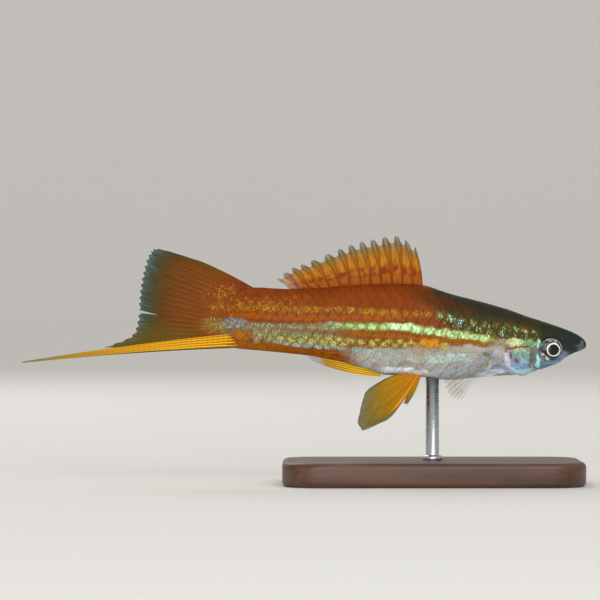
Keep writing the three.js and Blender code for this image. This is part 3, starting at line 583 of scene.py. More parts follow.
def build_markings(flank, flank_light):
    """The skin's markings as a node group, shared by the skin, the scales over it and the fins' roots. The
    bead input is above 0 at the middle of a scale and below 0 at its edge."""
    tree = bpy.data.node_groups.new("Swordtail markings", "ShaderNodeTree")
    tree.interface.new_socket("Colour", in_out="OUTPUT", socket_type="NodeSocketColor")
    tree.interface.new_socket("Shine", in_out="OUTPUT", socket_type="NodeSocketFloat")
    tree.interface.new_socket("Bead", in_out="INPUT", socket_type="NodeSocketFloat")
    bead = add(tree, "NodeGroupInput")
    place = add(tree, "ShaderNodeTexCoord", out="Object")
    upright = add(tree, "ShaderNodeMapping", {"Vector": place, "Scale": (1.9, 1.0, 1.0)})
    cells = add(tree, "ShaderNodeTexVoronoi", {"Vector": upright, "Scale": FLECKS}, out="Color")
    cells = add(tree, "ShaderNodeSeparateColor", {0: cells}).node.outputs
    waver = add(tree, "ShaderNodeTexNoise", {"Vector": place, "Scale": WAVES, "Detail": 4.0}, out="Color")
    waver = add(tree, "ShaderNodeSeparateColor", {0: waver}).node.outputs
    cloud = add(tree, "ShaderNodeMath", {0: waver[2], 1: 0.8, 2: -0.4}, operation="MULTIPLY_ADD")
    fine = add(tree, "ShaderNodeMath", {0: cells[0], 1: 0.68, 2: cloud}, operation="MULTIPLY_ADD")
    fine = add(tree, "ShaderNodeMath", {0: bead, 1: 0.3, 2: fine}, operation="MULTIPLY_ADD")
    beaded = add(tree, "ShaderNodeMath", {0: cells[0], 1: 0.5, 2: cloud}, operation="MULTIPLY_ADD")
    beaded = add(tree, "ShaderNodeMath", {0: bead, 1: 0.8, 2: beaded}, operation="MULTIPLY_ADD")
    local = add(tree, "ShaderNodeSeparateXYZ", {0: place}).node.outputs
    behind = add(tree, "ShaderNodeMath", {0: local["X"], 1: -1 / MM, 2: SNOUT_X - WAVER / 2},
                 operation="MULTIPLY_ADD")
    above = add(tree, "ShaderNodeMath", {0: local["Z"], 1: 1 / MM, 2: -SNOUT_Z - WAVER / 2},
                operation="MULTIPLY_ADD")
    behind = add(tree, "ShaderNodeMath", {0: waver[0], 1: WAVER, 2: behind}, operation="MULTIPLY_ADD")
    above = add(tree, "ShaderNodeMath", {0: waver[1], 1: WAVER, 2: above}, operation="MULTIPLY_ADD")
    share = add(tree, "ShaderNodeMath", {0: behind, 1: BODY_LENGTH}, operation="DIVIDE")
    hue = add(tree, "ShaderNodeMath", {0: above, 1: 0.01, 2: cells[1]}, operation="MULTIPLY_ADD")
    colour = add(tree, "ShaderNodeMix", {0: hue, 6: (*flank, 1), 7: (*flank_light, 1)}, out=2,
                 data_type="RGBA")
    shine = 0.0
    for marking in MARKINGS:
        mask = marking_mask(tree, marking, share, behind, above)
        covered = add(tree, "ShaderNodeMath", {0: mask, 1: 1.15, 2: beaded if marking["beads"] else fine},
                      operation="MULTIPLY_ADD")
        flecks = add(tree, "ShaderNodeMapRange", {0: covered, **FLECK_EDGES[marking["beads"]]}, **SMOOTH_STEP)
        mask = add(tree, "ShaderNodeMix", {0: marking["broken"], 2: mask, 3: flecks})
        mask.node.label = marking["name"]
        tint = {key: linear(value) for key, value in zip((6, 7), marking["colours"])}
        tint = add(tree, "ShaderNodeMix", {0: hue, **tint}, out=2, data_type="RGBA")
        colour = add(tree, "ShaderNodeMix", {0: mask, 6: colour, 7: tint}, out=2, data_type="RGBA")
        shine = add(tree, "ShaderNodeMix", {0: mask, 2: shine, 3: marking["gleam"]})
    # Painted glints: where the markings shine, random flecks are painted up to nearly twice as bright to
    # stand for sparkle, and a few a little darker.
    painted_glint = add(tree, "ShaderNodeMath", {0: cells[2], 1: 2.5}, operation="POWER")
    painted_glint = add(tree, "ShaderNodeMath", {0: painted_glint, 1: 1.0, 2: -0.25}, operation="MULTIPLY_ADD")
    painted_glint = add(tree, "ShaderNodeMath", {0: painted_glint, 1: shine}, operation="MULTIPLY")
    light = add(tree, "ShaderNodeMath", {0: painted_glint, 1: 5.0, 2: 1.0}, operation="MULTIPLY_ADD")
    colour = add(tree, "ShaderNodeVectorMath", {0: colour, "Scale": light}, operation="SCALE")
    add(tree, "NodeGroupOutput", {"Colour": colour, "Shine": shine})
    return tree


def skin_material(markings):
    """Wet fish skin: pigment under clear slime, with silver plates in it that shine like polished metal, and
    painted glints in their shiny flecks.
    """
    look, tree, shader = new_material("Wet swordtail skin", Coat_Weight=0.02, Coat_Roughness=0.1, IOR=1.36,
                                      Specular_IOR_Level=0.1)
    place = add(tree, "ShaderNodeTexCoord", out="Object")
    grain = add(tree, "ShaderNodeTexNoise", {"Vector": place, "Scale": SKIN_GRAIN, "Detail": 2.0})
    group = add(tree, "ShaderNodeGroup", {}, node_tree=markings).node
    rough = add(tree, "ShaderNodeMapRange", {0: grain, 1: 0.3, 2: 0.7, 3: 0.3, 4: 0.45})
    pores = add(tree, "ShaderNodeBump", {"Height": grain, "Strength": 0.2, "Distance": 0.00005})
    plug(shader, Base_Color=group.outputs["Colour"], Metallic=group.outputs["Shine"], Roughness=rough,
         Normal=pores)
    return look


def scale_material(markings):
    """Thin, clear, wet plates: the skin's markings show through, brightest at the middle of each plate."""
    look, tree, shader = new_material("Swordtail scales", Coat_Weight=0.02, Coat_Roughness=0.1, IOR=1.4,
                                      Specular_IOR_Level=0.1)
    place = add(tree, "ShaderNodeTexCoord", out="Object")
    plate = add(tree, "ShaderNodeAttribute", out="Vector", attribute_name="plate")
    tone = add(tree, "ShaderNodeAttribute", out="Fac", attribute_name="tone")
    grain = add(tree, "ShaderNodeTexNoise", {"Vector": place, "Scale": SCALE_GRAIN, "Detail": 2.0})
    plate = add(tree, "ShaderNodeSeparateXYZ", {0: plate}).node.outputs
    along = add(tree, "ShaderNodeMath", {0: plate["X"], 1: 3.2, 2: -2.35}, operation="MULTIPLY_ADD")
    spot = add(tree, "ShaderNodeCombineXYZ", {0: along, 1: plate["Y"]})
    spot = add(tree, "ShaderNodeVectorMath", {0: spot}, out="Value", operation="LENGTH")
    bead = add(tree, "ShaderNodeMapRange", {0: spot, 1: 0.1, 2: 0.8, 3: 0.3, 4: -0.4}, **SMOOTH_STEP)
    bead = add(tree, "ShaderNodeMath", {0: tone, 1: 0.12, 2: bead}, operation="MULTIPLY_ADD")
    group = add(tree, "ShaderNodeGroup", {"Bead": bead}, node_tree=markings).node
    rim = add(tree, "ShaderNodeMapRange", {0: plate["X"], 1: 0.82, 2: 1.0, 3: 1.0, 4: 0.93},
              interpolation_type="SMOOTHSTEP")
    light = add(tree, "ShaderNodeMapRange", {0: tone, 3: 0.93, 4: 1.08})
    light = add(tree, "ShaderNodeMath", {0: light, 1: rim}, operation="MULTIPLY")
    colour = add(tree, "ShaderNodeVectorMath", {0: group.outputs["Colour"], "Scale": light},
                 operation="SCALE")
    rough = add(tree, "ShaderNodeMapRange", {0: tone, 3: 0.28, 4: 0.42})
    growth_lines = add(tree, "ShaderNodeBump", {"Height": grain, "Strength": 0.25, "Distance": 0.00004})
    plug(shader, Base_Color=colour, Metallic=group.outputs["Shine"], Roughness=rough, Normal=growth_lines)
    return look


STREAKS_ALONG = 5.0  # streaks from the root of a fin to its margin
RAY_JOINTS = 41.38  # short bones along a ray, 0.4 mm each on the tail fin


def fin_material(name, membrane, rays, clear, ray_depth=0.9, root_reach=0.0, streaks=60.0, ray_solid=0.5,
                 overlay=None, clear_rear=1.0):
    """A fin: a thin, half clear membrane over bony rays. Each list holds stops from the root to the margin.
    overlay(tree, fan) gives a hex colour laid over the fin and how much of it there is. From clear_rear on,
    as a share across the fan, the fin thins out."""
    look, tree, shader = new_material(name, Roughness=0.42, Coat_Weight=0.02, IOR=1.36,
                                      Specular_IOR_Level=0.1)
    place = add(tree, "ShaderNodeAttribute", out="Vector", attribute_name="fan")
    fan = add(tree, "ShaderNodeSeparateXYZ", {0: place}).node.outputs
    spread = add(tree, "ShaderNodeVectorMath", {0: place, 1: (streaks, STREAKS_ALONG, 0.0)},
                 operation="MULTIPLY")
    streak = add(tree, "ShaderNodeTexNoise", {"Vector": spread, "Scale": 1.0, "Detail": 3.0})
    out = add(tree, "ShaderNodeMath", {0: streak, 1: 0.3, 2: fan["Y"]}, operation="MULTIPLY_ADD")
    out = add(tree, "ShaderNodeMath", {0: out, 1: 0.15}, operation="SUBTRACT")
    skin = add(tree, "ShaderNodeValToRGB", {0: out}, stops=membrane)
    shade = add(tree, "ShaderNodeMapRange", {0: streak, 1: 0.3, 2: 0.7, 3: 0.72, 4: 1.22})
    skin = add(tree, "ShaderNodeVectorMath", {0: skin, "Scale": shade}, operation="SCALE")
    bone = add(tree, "ShaderNodeValToRGB", {0: out}, stops=rays)
    joints = add(tree, "ShaderNodeMath", {0: fan["Y"], 1: 2 * math.pi * RAY_JOINTS}, operation="MULTIPLY")
    joints = add(tree, "ShaderNodeMath", {0: joints}, operation="SINE")
    joints = add(tree, "ShaderNodeMapRange", {0: joints, 1: 0.5, 2: 1.0, 3: ray_depth, 4: 0.7 * ray_depth})
    share = add(tree, "ShaderNodeMath", {0: fan["Z"], 1: joints}, operation="MULTIPLY")
    colour = add(tree, "ShaderNodeMix", {0: share, 6: skin, 7: bone}, out=2, data_type="RGBA")
    thin = add(tree, "ShaderNodeValToRGB", {0: out}, stops=clear)
    solid = add(tree, "ShaderNodeMath", {0: fan["Z"], 1: ray_solid, 2: thin}, operation="MULTIPLY_ADD",
                use_clamp=True)
    if clear_rear < 1:
        rear = add(tree, "ShaderNodeMapRange", {0: fan["X"], 1: clear_rear, 2: 1.0, 3: 1.0, 4: 0.35})
        solid = add(tree, "ShaderNodeMath", {0: solid, 1: rear}, operation="MULTIPLY")
    if overlay:
        tint, share = overlay(tree, fan)
        colour = add(tree, "ShaderNodeMix", {0: share, 6: colour, 7: linear(tint)}, out=2, data_type="RGBA")
    if root_reach:
        group = add(tree, "ShaderNodeGroup", node_tree=bpy.data.node_groups["Swordtail markings"]).node
        near = add(tree, "ShaderNodeMapRange", {0: out, 1: 0.25 * root_reach, 2: root_reach, 3: 1.0, 4: 0.0},
                   interpolation_type="SMOOTHSTEP")
        colour = add(tree, "ShaderNodeMix", {0: near, 6: colour, 7: group.outputs["Colour"]}, out=2,
                     data_type="RGBA")
    plug(shader, Base_Color=colour, Alpha=solid)
    return look


def eye_material():
    """A fish's eye: a black pupil, cream ring, dark brown iris and broken silver rim, under a wet lens."""
    look, tree, shader = new_material("Fish eye", Coat_Weight=0.6, Coat_Roughness=0.02, IOR=1.38,
                                      Roughness=0.35, Specular_IOR_Level=0.1)
    place = add(tree, "ShaderNodeTexCoord", out="Object")
    split = add(tree, "ShaderNodeSeparateXYZ", {0: place}).node.outputs
    along = add(tree, "ShaderNodeMath", {0: split["X"], 1: 1 / MM, 2: EYE_BEHIND - SNOUT_X},
                operation="MULTIPLY_ADD")
    up = add(tree, "ShaderNodeMath", {0: split["Z"], 1: 1 / MM, 2: EYE_BELOW_SNOUT - SNOUT_Z},
             operation="MULTIPLY_ADD")
    flat = add(tree, "ShaderNodeCombineXYZ", {0: along, 1: up})
    grain = add(tree, "ShaderNodeTexNoise", {"Vector": place, "Scale": IRIS_WISPS, "Detail": 3.0},
                out="Color")
    grain = add(tree, "ShaderNodeVectorMath", {0: grain, 1: (-0.5, -0.5, -0.5)}, operation="ADD")
    flat = add(tree, "ShaderNodeVectorMath", {0: grain, 1: (0.22, 0.22, 0.0), 2: flat},
               operation="MULTIPLY_ADD")
    outer = add(tree, "ShaderNodeVectorMath", {0: flat}, out="Value", operation="LENGTH")
    outer = add(tree, "ShaderNodeMath", {0: outer, 1: EYE_RADIUS}, operation="DIVIDE")
    colour = add(tree, "ShaderNodeValToRGB", {0: outer}, stops=[
        (0.0, "1a1410"), (0.66, "1f1713"), (0.72, "62606c"), (0.8, "a4a4b0"), (0.88, "6c6a78"),
        (0.92, "d8dce0"), (0.96, "a0a2a8"), (1.0, "1a1c1e"),
    ])
    for across, tint, strength in ((-0.66, "d8f0e8", 0.9), (0.66, "5c74c8", 0.75)):  # lower back, lower front
        toward = add(tree, "ShaderNodeVectorMath", {0: flat, 1: (across, -0.75, 0.0)}, out="Value",
                     operation="DOT_PRODUCT")
        near = add(tree, "ShaderNodeMapRange", {0: toward, 1: 1.15, 2: 1.6, 3: 0.0, 4: strength},
                   interpolation_type="SMOOTHSTEP")
        colour = add(tree, "ShaderNodeMix", {0: near, 6: colour, 7: linear(tint)}, out=2, data_type="RGBA")
    patches = add(tree, "ShaderNodeTexNoise", {"Vector": place, "Scale": IRIS_GAPS, "Detail": 2.0})
    breaks = add(tree, "ShaderNodeMapRange", {0: patches, 1: 0.42, 2: 0.5, 3: 0.0, 4: 0.9})
    inside = add(tree, "ShaderNodeMapRange", {0: outer, 1: 0.88, 2: 0.93, 3: 1.0, 4: 0.35})
    dark = add(tree, "ShaderNodeMath", {0: breaks, 1: inside}, operation="MULTIPLY")
    colour = add(tree, "ShaderNodeMix", {0: dark, 6: colour, 7: linear("24222e")}, out=2, data_type="RGBA")
    inner = add(tree, "ShaderNodeVectorMath", {0: flat, 1: (-PUPIL_AHEAD, 0.0, 0.0)}, operation="ADD")
    inner = add(tree, "ShaderNodeVectorMath", {0: inner}, out="Value", operation="LENGTH")
    inner = add(tree, "ShaderNodeMath", {0: inner, 1: EYE_RADIUS}, operation="DIVIDE")
    ring = add(tree, "ShaderNodeValToRGB", {0: inner}, stops=[
        (0.0, "020303"), (0.45, "030404"), (0.48, "ccd0a8"), (0.53, "f4f2d8"), (0.565, "c8c8a0"),
        (0.6, "15100d"),
    ])
    in_ring = add(tree, "ShaderNodeMapRange", {0: inner, 1: 0.6, 2: 0.68, 3: 1.0, 4: 0.0})
    colour = add(tree, "ShaderNodeMix", {0: in_ring, 6: colour, 7: ring}, out=2, data_type="RGBA")
    metal = add(tree, "ShaderNodeValToRGB", {0: inner}, stops=[(0.45, 0.0), (0.5, 0.2), (1.0, 0.25)])
    plug(shader, Base_Color=colour, Metallic=metal)
    return look


def walnut_material():
    """Oiled walnut: long brown grain along the base, with darker pores, and a soft satin."""
    look, tree, shader = new_material("Oiled walnut", Coat_Weight=0.15, Coat_Roughness=0.3, IOR=1.5)
    place = add(tree, "ShaderNodeTexCoord", out="Object")
    long = add(tree, "ShaderNodeMapping", {"Vector": place, "Scale": (0.1, 1.0, 1.0)})
    grain = add(tree, "ShaderNodeTexNoise",
                {"Vector": long, "Scale": WALNUT_PORES, "Detail": 8.0, "Distortion": 0.6})
    broad = add(tree, "ShaderNodeTexNoise",
                {"Vector": long, "Scale": WALNUT_BANDS, "Detail": 3.0, "Distortion": 1.2})
    both = add(tree, "ShaderNodeMix", {0: 0.5, 2: broad, 3: grain})
    colour = add(tree, "ShaderNodeValToRGB", {0: both}, stops=[
        (0.3, "2a170d"), (0.45, "472b1a"), (0.56, "5c3a25"), (0.7, "74503a"),
    ])
    rough = add(tree, "ShaderNodeMapRange", {0: grain, 1: 0.3, 2: 0.7, 3: 0.38, 4: 0.55})
    pores = add(tree, "ShaderNodeBump", {"Height": both, "Strength": 0.15, "Distance": 0.00008})
    plug(shader, Base_Color=colour, Roughness=rough, Normal=pores)
    return look


def steel_material():
    """Brushed stainless steel: fine scratches round the rod break its highlight."""
    look, tree, shader = new_material("Brushed stainless steel", Metallic=1.0)
    place = add(tree, "ShaderNodeTexCoord", out="Object")
    flat = add(tree, "ShaderNodeMapping", {"Vector": place, "Scale": (1.0, 1.0, 14.0)})
    lines = add(tree, "ShaderNodeTexNoise", {"Vector": flat, "Scale": BRUSH_LINES, "Detail": 3.0})
    colour = add(tree, "ShaderNodeValToRGB", {0: lines}, stops=[(0.3, "9fa3a6"), (0.7, "c9ccce")])
    rough = add(tree, "ShaderNodeMapRange", {0: lines, 1: 0.3, 2: 0.7, 3: 0.22, 4: 0.4})
    plug(shader, Base_Color=colour, Roughness=rough)
    return look


def paper_material(paper):
    """Matte white paper sweep: even, with a faint tooth."""
    look, tree, shader = new_material("Matte paper", Roughness=0.9)
    place = add(tree, "ShaderNodeTexCoord", out="Object")
    tooth = add(tree, "ShaderNodeTexNoise", {"Vector": place, "Scale": PAPER_TOOTH, "Detail": 4.0})
    shade = add(tree, "ShaderNodeMapRange", {0: tooth, 1: 0.3, 2: 0.7, 3: 0.97, 4: 1.01})
    colour = add(tree, "ShaderNodeVectorMath", {0: paper, "Scale": shade}, operation="SCALE")
    plug(shader, Base_Color=colour)
    return look


# Fins

SHEET_SHARE = 0.48  # height that one face of a fin takes on its unwrap
MARGIN_THINS = 0.3  # share of its thickness that a fin keeps at its free edge


def free_edge(across, share, web, seed, slit, ragged):
    """How far out a fin's skin reaches: as far as its web between two rays, further at a ray, with a torn
    fringe. slit is the place, width and depth of a split."""
    draw = np.random.default_rng(seed)
    columns = np.arange(len(across))
    tears = np.arange(0, len(across) + 3, 3)
    at_rays = smooth(0.4, 0.97, np.abs(np.sin(math.pi * across)))
    fringe = np.abs(np.sin(math.pi * across * 4)) + np.interp(columns, tears, draw.random(len(tears)))
    reach = 1 - (1 - web) * np.clip(at_rays + fringe * ragged / 4, 0, 1.25)
    if slit:
        place, width, depth = slit
        reach = reach - depth * bump(share - place, width)
    return reach


def forked(away, v, width, split, spread):
    """The ridges of the rays. Each forks at a share of its length, and its branches fork further out."""
    fork = spread * smooth(split, 1.0, v)
    twig = 0.42 * spread * smooth(min(split + 0.25, 0.95), 1.0, v)
    return np.max([bump(away - s * fork - t * twig, width) for s in (-1, 1) for t in (-1, 1)], axis=0)


def closed_sheet(name, upper, lower, fan):
    """A sheet from the two grids of points of its faces. Each face has half of the unwrap."""
    rows, columns = upper.shape[:2]
    size = rows * columns
    faces, places = grid_faces(rows, columns)
    rim = [*range(columns), *range(2 * columns - 1, size, columns), *range(size - 2, size - columns - 1, -1),
           *range(size - 2 * columns, 0, -columns)]
    edge = [[a, b, b + size, a + size] for a, b in zip(rim, rim[1:] + rim[:1])]
    uv = places[:, ::-1] / [columns - 1, rows - 1] * [1, SHEET_SHARE]
    turned = uv.reshape(-1, 4, 2)[:, ::-1].reshape(-1, 2)
    uvs = np.concatenate([turned, uv + [0, 0.5], np.tile([0.0, 1.0], (len(edge) * 4, 1))])
    mesh = mesh_from(name, np.concatenate([upper, lower]).reshape(-1, 3),
                     [*faces[:, ::-1], *(faces + size), *edge], uvs, {"fan": np.tile(fan, (2, 1))})
    turn_out(mesh)
    return new_object(name, mesh)


def fan_sheet(name, rays, count, rows, web, thick, ray_height, ray_width, split, spread, seed, per_gap=12,
              slit=None, stain=1.4, ragged=0.5):
    """A fin as a closed thin sheet. rays(share) gives roots, tips and sags in mm for shares across the fan,
    and web how far out the skin reaches between them, as a share or a function of the place across. Rays rise
    on both faces, and their colour, in the fan attribute, is wider than they are by stain."""
    across = np.arange((count - 1) * per_gap + 1) / per_gap
    share = across / (count - 1)
    roots, tips, sags = rays(share)
    reach = web(share) if callable(web) else web
    v = np.linspace(0, 1, rows)[:, None] * free_edge(across, share, reach, seed, slit, ragged)
    middle = roots + (tips - roots) * v[..., None] + sags * (4 * v * (1 - v))[..., None]
    normal = np.cross(np.gradient(middle, axis=0), np.gradient(middle, axis=1))
    normal /= np.maximum(np.linalg.norm(normal, axis=-1, keepdims=True), SMALLEST)
    away = across - np.round(across)
    width = ray_width * (1 - 0.5 * v)
    half = thick / 2 * (1 - 0.5 * v) + ray_height * forked(away, v, width, split, spread) * (1 - 0.7 * v)
    half[-1] *= MARGIN_THINS
    stains = forked(away, v, stain * width, split, spread)
    fan = np.stack(np.broadcast_arrays(share, v, stains), -1).reshape(-1, 3)
    return closed_sheet(name, middle + normal * half[..., None], middle - normal * half[..., None], fan)


def even_rays(roots, tips, sag):
    """Rays spread evenly along a root line and a tip line. sag(share) is how far each ray's middle bends."""
    return lambda share: (spline(roots, share), spline(tips, share),
                          np.stack(np.broadcast_arrays(*sag(share)), -1).astype(float))


def listed_rays(roots, tips, sags):
    """Rays given one by one, with the sheet between them on a smooth curve from ray to ray."""
    return lambda share: tuple(spline(line, share) for line in (roots, tips, sags))


# Settings

# What the photo's frame takes in
VIEW_MIDDLE = (-0.667, 30.667)  # x and z at the fish
VIEW_DISTANCE, VIEW_WIDTH = 600, 100


class SwordtailScales(bpy.types.PropertyGroup):
    rows: IntProperty(name="Rows", description="Rows of scales round the body", default=24, min=12, max=40)
    front_pitch: FloatProperty(name="Head pitch", description="Length that shows of a scale on the head",
                               default=1.25 * MM, min=0.5 * MM, max=4 * MM, precision=5, unit="LENGTH")
    pitch: FloatProperty(name="Pitch", description="Length that shows of a scale on the flank",
                         default=1.85 * MM, min=0.8 * MM, max=4 * MM, precision=5, unit="LENGTH")
    lift: FloatProperty(name="Lift", description="Height of a scale's free edge over the skin",
                        default=0.05 * MM, min=0.02 * MM, max=0.6 * MM, precision=5, unit="LENGTH")
    seed: IntProperty(name="Seed", description="Draw of the scales' tones and sizes", default=7)


class SwordtailSkin(bpy.types.PropertyGroup):
    flank: FloatVectorProperty(name="Flank", description="Rust colour under the markings", size=3,
                               default=linear("7e360a")[:3], subtype="COLOR", min=0, max=1)
    flank_light: FloatVectorProperty(name="Light flank", description="Second, lighter rust of the flank",
                                     size=3, default=linear("8a4208")[:3], subtype="COLOR", min=0, max=1)
    inset: FloatProperty(name="Inset", description="Depth of the skin under the scales' free edges",
                         default=0.16 * MM, min=0, max=0.5 * MM, precision=5, unit="LENGTH")
    relief: FloatProperty(name="Relief", description="Strength of the head's lips, nostrils and gill covers",
                          default=1.0, min=0, max=2, subtype="FACTOR")


class SwordtailFins(bpy.types.PropertyGroup):
    thickness: FloatProperty(name="Membrane", description="Thickness of the fins' skin", default=0.08 * MM,
                             min=0.02 * MM, max=0.4 * MM, precision=5, unit="LENGTH")
    rays: FloatProperty(name="Rays", description="Height of the fin rays over the skin", default=0.09 * MM,
                        min=0.0, max=0.3 * MM, precision=5, unit="LENGTH")


class SwordtailStand(bpy.types.PropertyGroup):
    corner: FloatProperty(name="Corner", description="Radius of the base's corners", default=6.0 * MM,
                          min=1.0 * MM, precision=5, unit="LENGTH")
    edge: FloatProperty(name="Edge", description="Rounding of the base's edges", default=0.8 * MM,
                        min=0.1 * MM, precision=5, unit="LENGTH")


class SwordtailStage(bpy.types.PropertyGroup):
    distance: FloatProperty(name="Camera distance", description="From the camera to the fish",
                            default=VIEW_DISTANCE * MM, unit="LENGTH", min=0.1)
    view_width: FloatProperty(name="View width", description="What the camera takes in at the fish",
                              default=VIEW_WIDTH * MM, unit="LENGTH", min=0.01)
    key_power: FloatProperty(name="Key light", description="Power of the large soft light", default=2.2,
                             unit="POWER")
    fill_power: FloatProperty(name="Fill light", description="Power of the light beside the camera",
                              default=1.8, unit="POWER")
    rim_power: FloatProperty(name="Rim light", description="Power of the light behind the fish", default=1.5,
                             unit="POWER")
    paper: FloatVectorProperty(name="Paper", description="Colour of the floor and backdrop", size=3,
                               default=linear("eae8e4")[:3], subtype="COLOR", min=0, max=1)
    air: FloatVectorProperty(name="Surroundings", description="Colour of the soft light all round", size=3,
                             default=(0.88, 0.87, 0.85), subtype="COLOR", min=0, max=1)
    air_strength: FloatProperty(name="Soft light", description="Strength of the soft light all round",
                                default=0.68, min=0, max=2)


# Pieces

class SWORDTAIL_OT_skin(bpy.types.Operator):
    """Makes one seamless skin over the head, jaw, gill covers, trunk and tail stalk"""

    bl_idname = "swordtail.skin"
    bl_label = "Skin"

    def execute(self, context):
        settings = context.scene.swordtail_skin
        rings = np.unique(np.concatenate([np.linspace(a, b, round((b - a) / step) + 1)
                                          for a, step, b in SKIN_RINGS]))
        angles = np.array([even_angles(b, SKIN_AROUND) for b in rings])
        inset = settings.inset / MM * smooth(*SCALED_FROM, rings)[:, None] + SKIN_UNDER
        body = body_point(rings[:, None] * np.ones(SKIN_AROUND), angles, -inset)
        caps = []
        for ring, (shares, bulge) in ((body[0], SNOUT_CAP), (body[-1], TAIL_CAP)):
            middle = ring.mean(0)
            caps.append([middle + (ring - middle) * s + [bulge * (1 - s * s), 0, 0] for s in shares])
        points = np.concatenate([np.array(caps[0]), body, np.array(caps[1])])
        normal = np.cross(np.roll(points, -1, 1) - np.roll(points, 1, 1), np.gradient(points, axis=0))
        normal /= np.maximum(np.linalg.norm(normal, axis=-1, keepdims=True), SMALLEST)
        if (normal[:, :, 2] * (points[:, :, 2] - points[:, :, 2].mean(1, keepdims=True))).sum() < 0:
            normal = -normal
        behind, y, above = SNOUT_X - points[..., 0], points[..., 1], points[..., 2] - SNOUT_Z
        relief = mouth_relief(behind, above) + nostril_relief(points) + eye_relief(behind, above, y)
        relief += gill_relief(behind, above) + throat_relief(behind, above, y)
        points = points + normal * (settings.relief * relief)[..., None]
        rows = len(points)
        faces, places = grid_faces(rows, SKIN_AROUND, closed=True)
        front, rear = len(caps[0]), len(caps[1])
        along = np.concatenate([np.linspace(0, CAP_MARGIN, front, endpoint=False), along_share(rings),
                                np.linspace(1 - CAP_MARGIN, 1, rear + 1)[1:]])
        uvs = np.stack([along[places[:, 0]], places[:, 1] / SKIN_AROUND], -1)
        ends = [list(range(SKIN_AROUND))[::-1], list(range((rows - 1) * SKIN_AROUND, rows * SKIN_AROUND))]
        turn = np.arange(SKIN_AROUND) / SKIN_AROUND
        end_uvs = np.concatenate([np.stack([np.zeros(SKIN_AROUND), turn[::-1]], -1),
                                  np.stack([np.ones(SKIN_AROUND), turn], -1)])
        mesh = mesh_from("fish_skin", points.reshape(-1, 3), [*faces, *ends], np.concatenate([uvs, end_uvs]))
        turn_out(mesh)
        skin = new_object("fish_skin", mesh)
        markings = build_markings(settings.flank, settings.flank_light)
        finish_piece(skin, skin_material(markings), "rust_skin", "head", "lower_jaw", "gill_cover_right",
                     "gill_cover_left", "trunk", "tail_stalk")
        return {"FINISHED"}


# The scales, from the nape and the gill covers to the root of the tail fin
FIRST_SCALES, LAST_SCALES = 4.6, 57.5
HEAD_SCALES, FLANK_SCALES = 6, 16  # between these the pitch grows from the head's to the flank's
STALK = (35, 58)
STALK_SHRINK = 0.12  # share by which the scales are smaller at the end of the stalk
SCALE_LENGTH = 1.95  # of a whole scale, as a share of what shows of it
SCALE_WIDTH = 1.04  # of a whole scale, as a share of its row
SCALE_JITTER = 0.05
BARE_FACE = {"behind": 12.6, "above": 1.35, "rises": 0.25, "from": 9}  # no scales in front of and under this
EYE_CLEARANCE = 2.5
GILL_CLEARANCE = 0.2
FACES_PER_SCALE = 50  # fewer than a grown scale has
PATCH = 0.003  # width of a scale's patch on the unwrap

ROOT_HEIGHT, CROWN, EDGE_DROP, PLATE_DEPTH = -0.28, 0.22, 0.1, 0.3  # of a scale, as shares of its lift


def scale_shape():
    """One scale, flat: x runs from its root, 0, to its free edge, 1, and y across it from -1 to 1. Its height
    is a share of the lift of its free edge."""
    rows, columns = 9, 9
    w = np.linspace(-1, 1, columns)
    rounded = 0.5 + 0.5 * np.sqrt(1 - 0.96 * w**2)
    x = (np.linspace(0, 1, rows) ** 0.8)[:, None] * rounded
    y = w * (0.82 + 0.18 * smooth(0, 0.4, x))
    top = x + ROOT_HEIGHT + CROWN * (1 - w**2)
    top[-1] -= EDGE_DROP
    points = np.concatenate([np.stack([x, y, top], -1).reshape(-1, 3),
                             np.stack([x, y, top - PLATE_DEPTH], -1)[[0, -1]].reshape(-1, 3)])
    faces, _ = grid_faces(rows, columns)
    size = rows * columns
    last = size - columns
    steps = range(columns - 1)
    under = [[size + j, size + columns + j, size + columns + j + 1, size + j + 1] for j in steps]
    skirt = [[last + j, last + j + 1, size + columns + j + 1, size + columns + j] for j in steps]
    front = [[j, size + j, size + j + 1, j + 1] for j in steps]
    sides = [[*range(0, size, columns), size + columns, size],
             [*range(size - 1, 0, -columns), size + columns - 1, size + 2 * columns - 1]]
    mesh = mesh_from("scale_shape", points / MM, [*faces[:, ::-1], *under, *skirt, *front, *sides], None,
                     {"plate": points * [1, 1, 0]})
    turn_out(mesh)
    return mesh


def is_bare(behind, above, free):
    """Whether a scale rooted at a place would lie on the face, gill cover or eye. free is its free end."""
    nape = BARE_FACE["above"] + BARE_FACE["rises"] * max(0.0, BARE_FACE["from"] - behind)
    return (behind < BARE_FACE["behind"] and above < nape
            or gill_edge_share(behind + GILL_CLEARANCE, above) < 1
            or np.hypot(free - EYE_BEHIND, above + EYE_BELOW_SNOUT) < EYE_CLEARANCE)


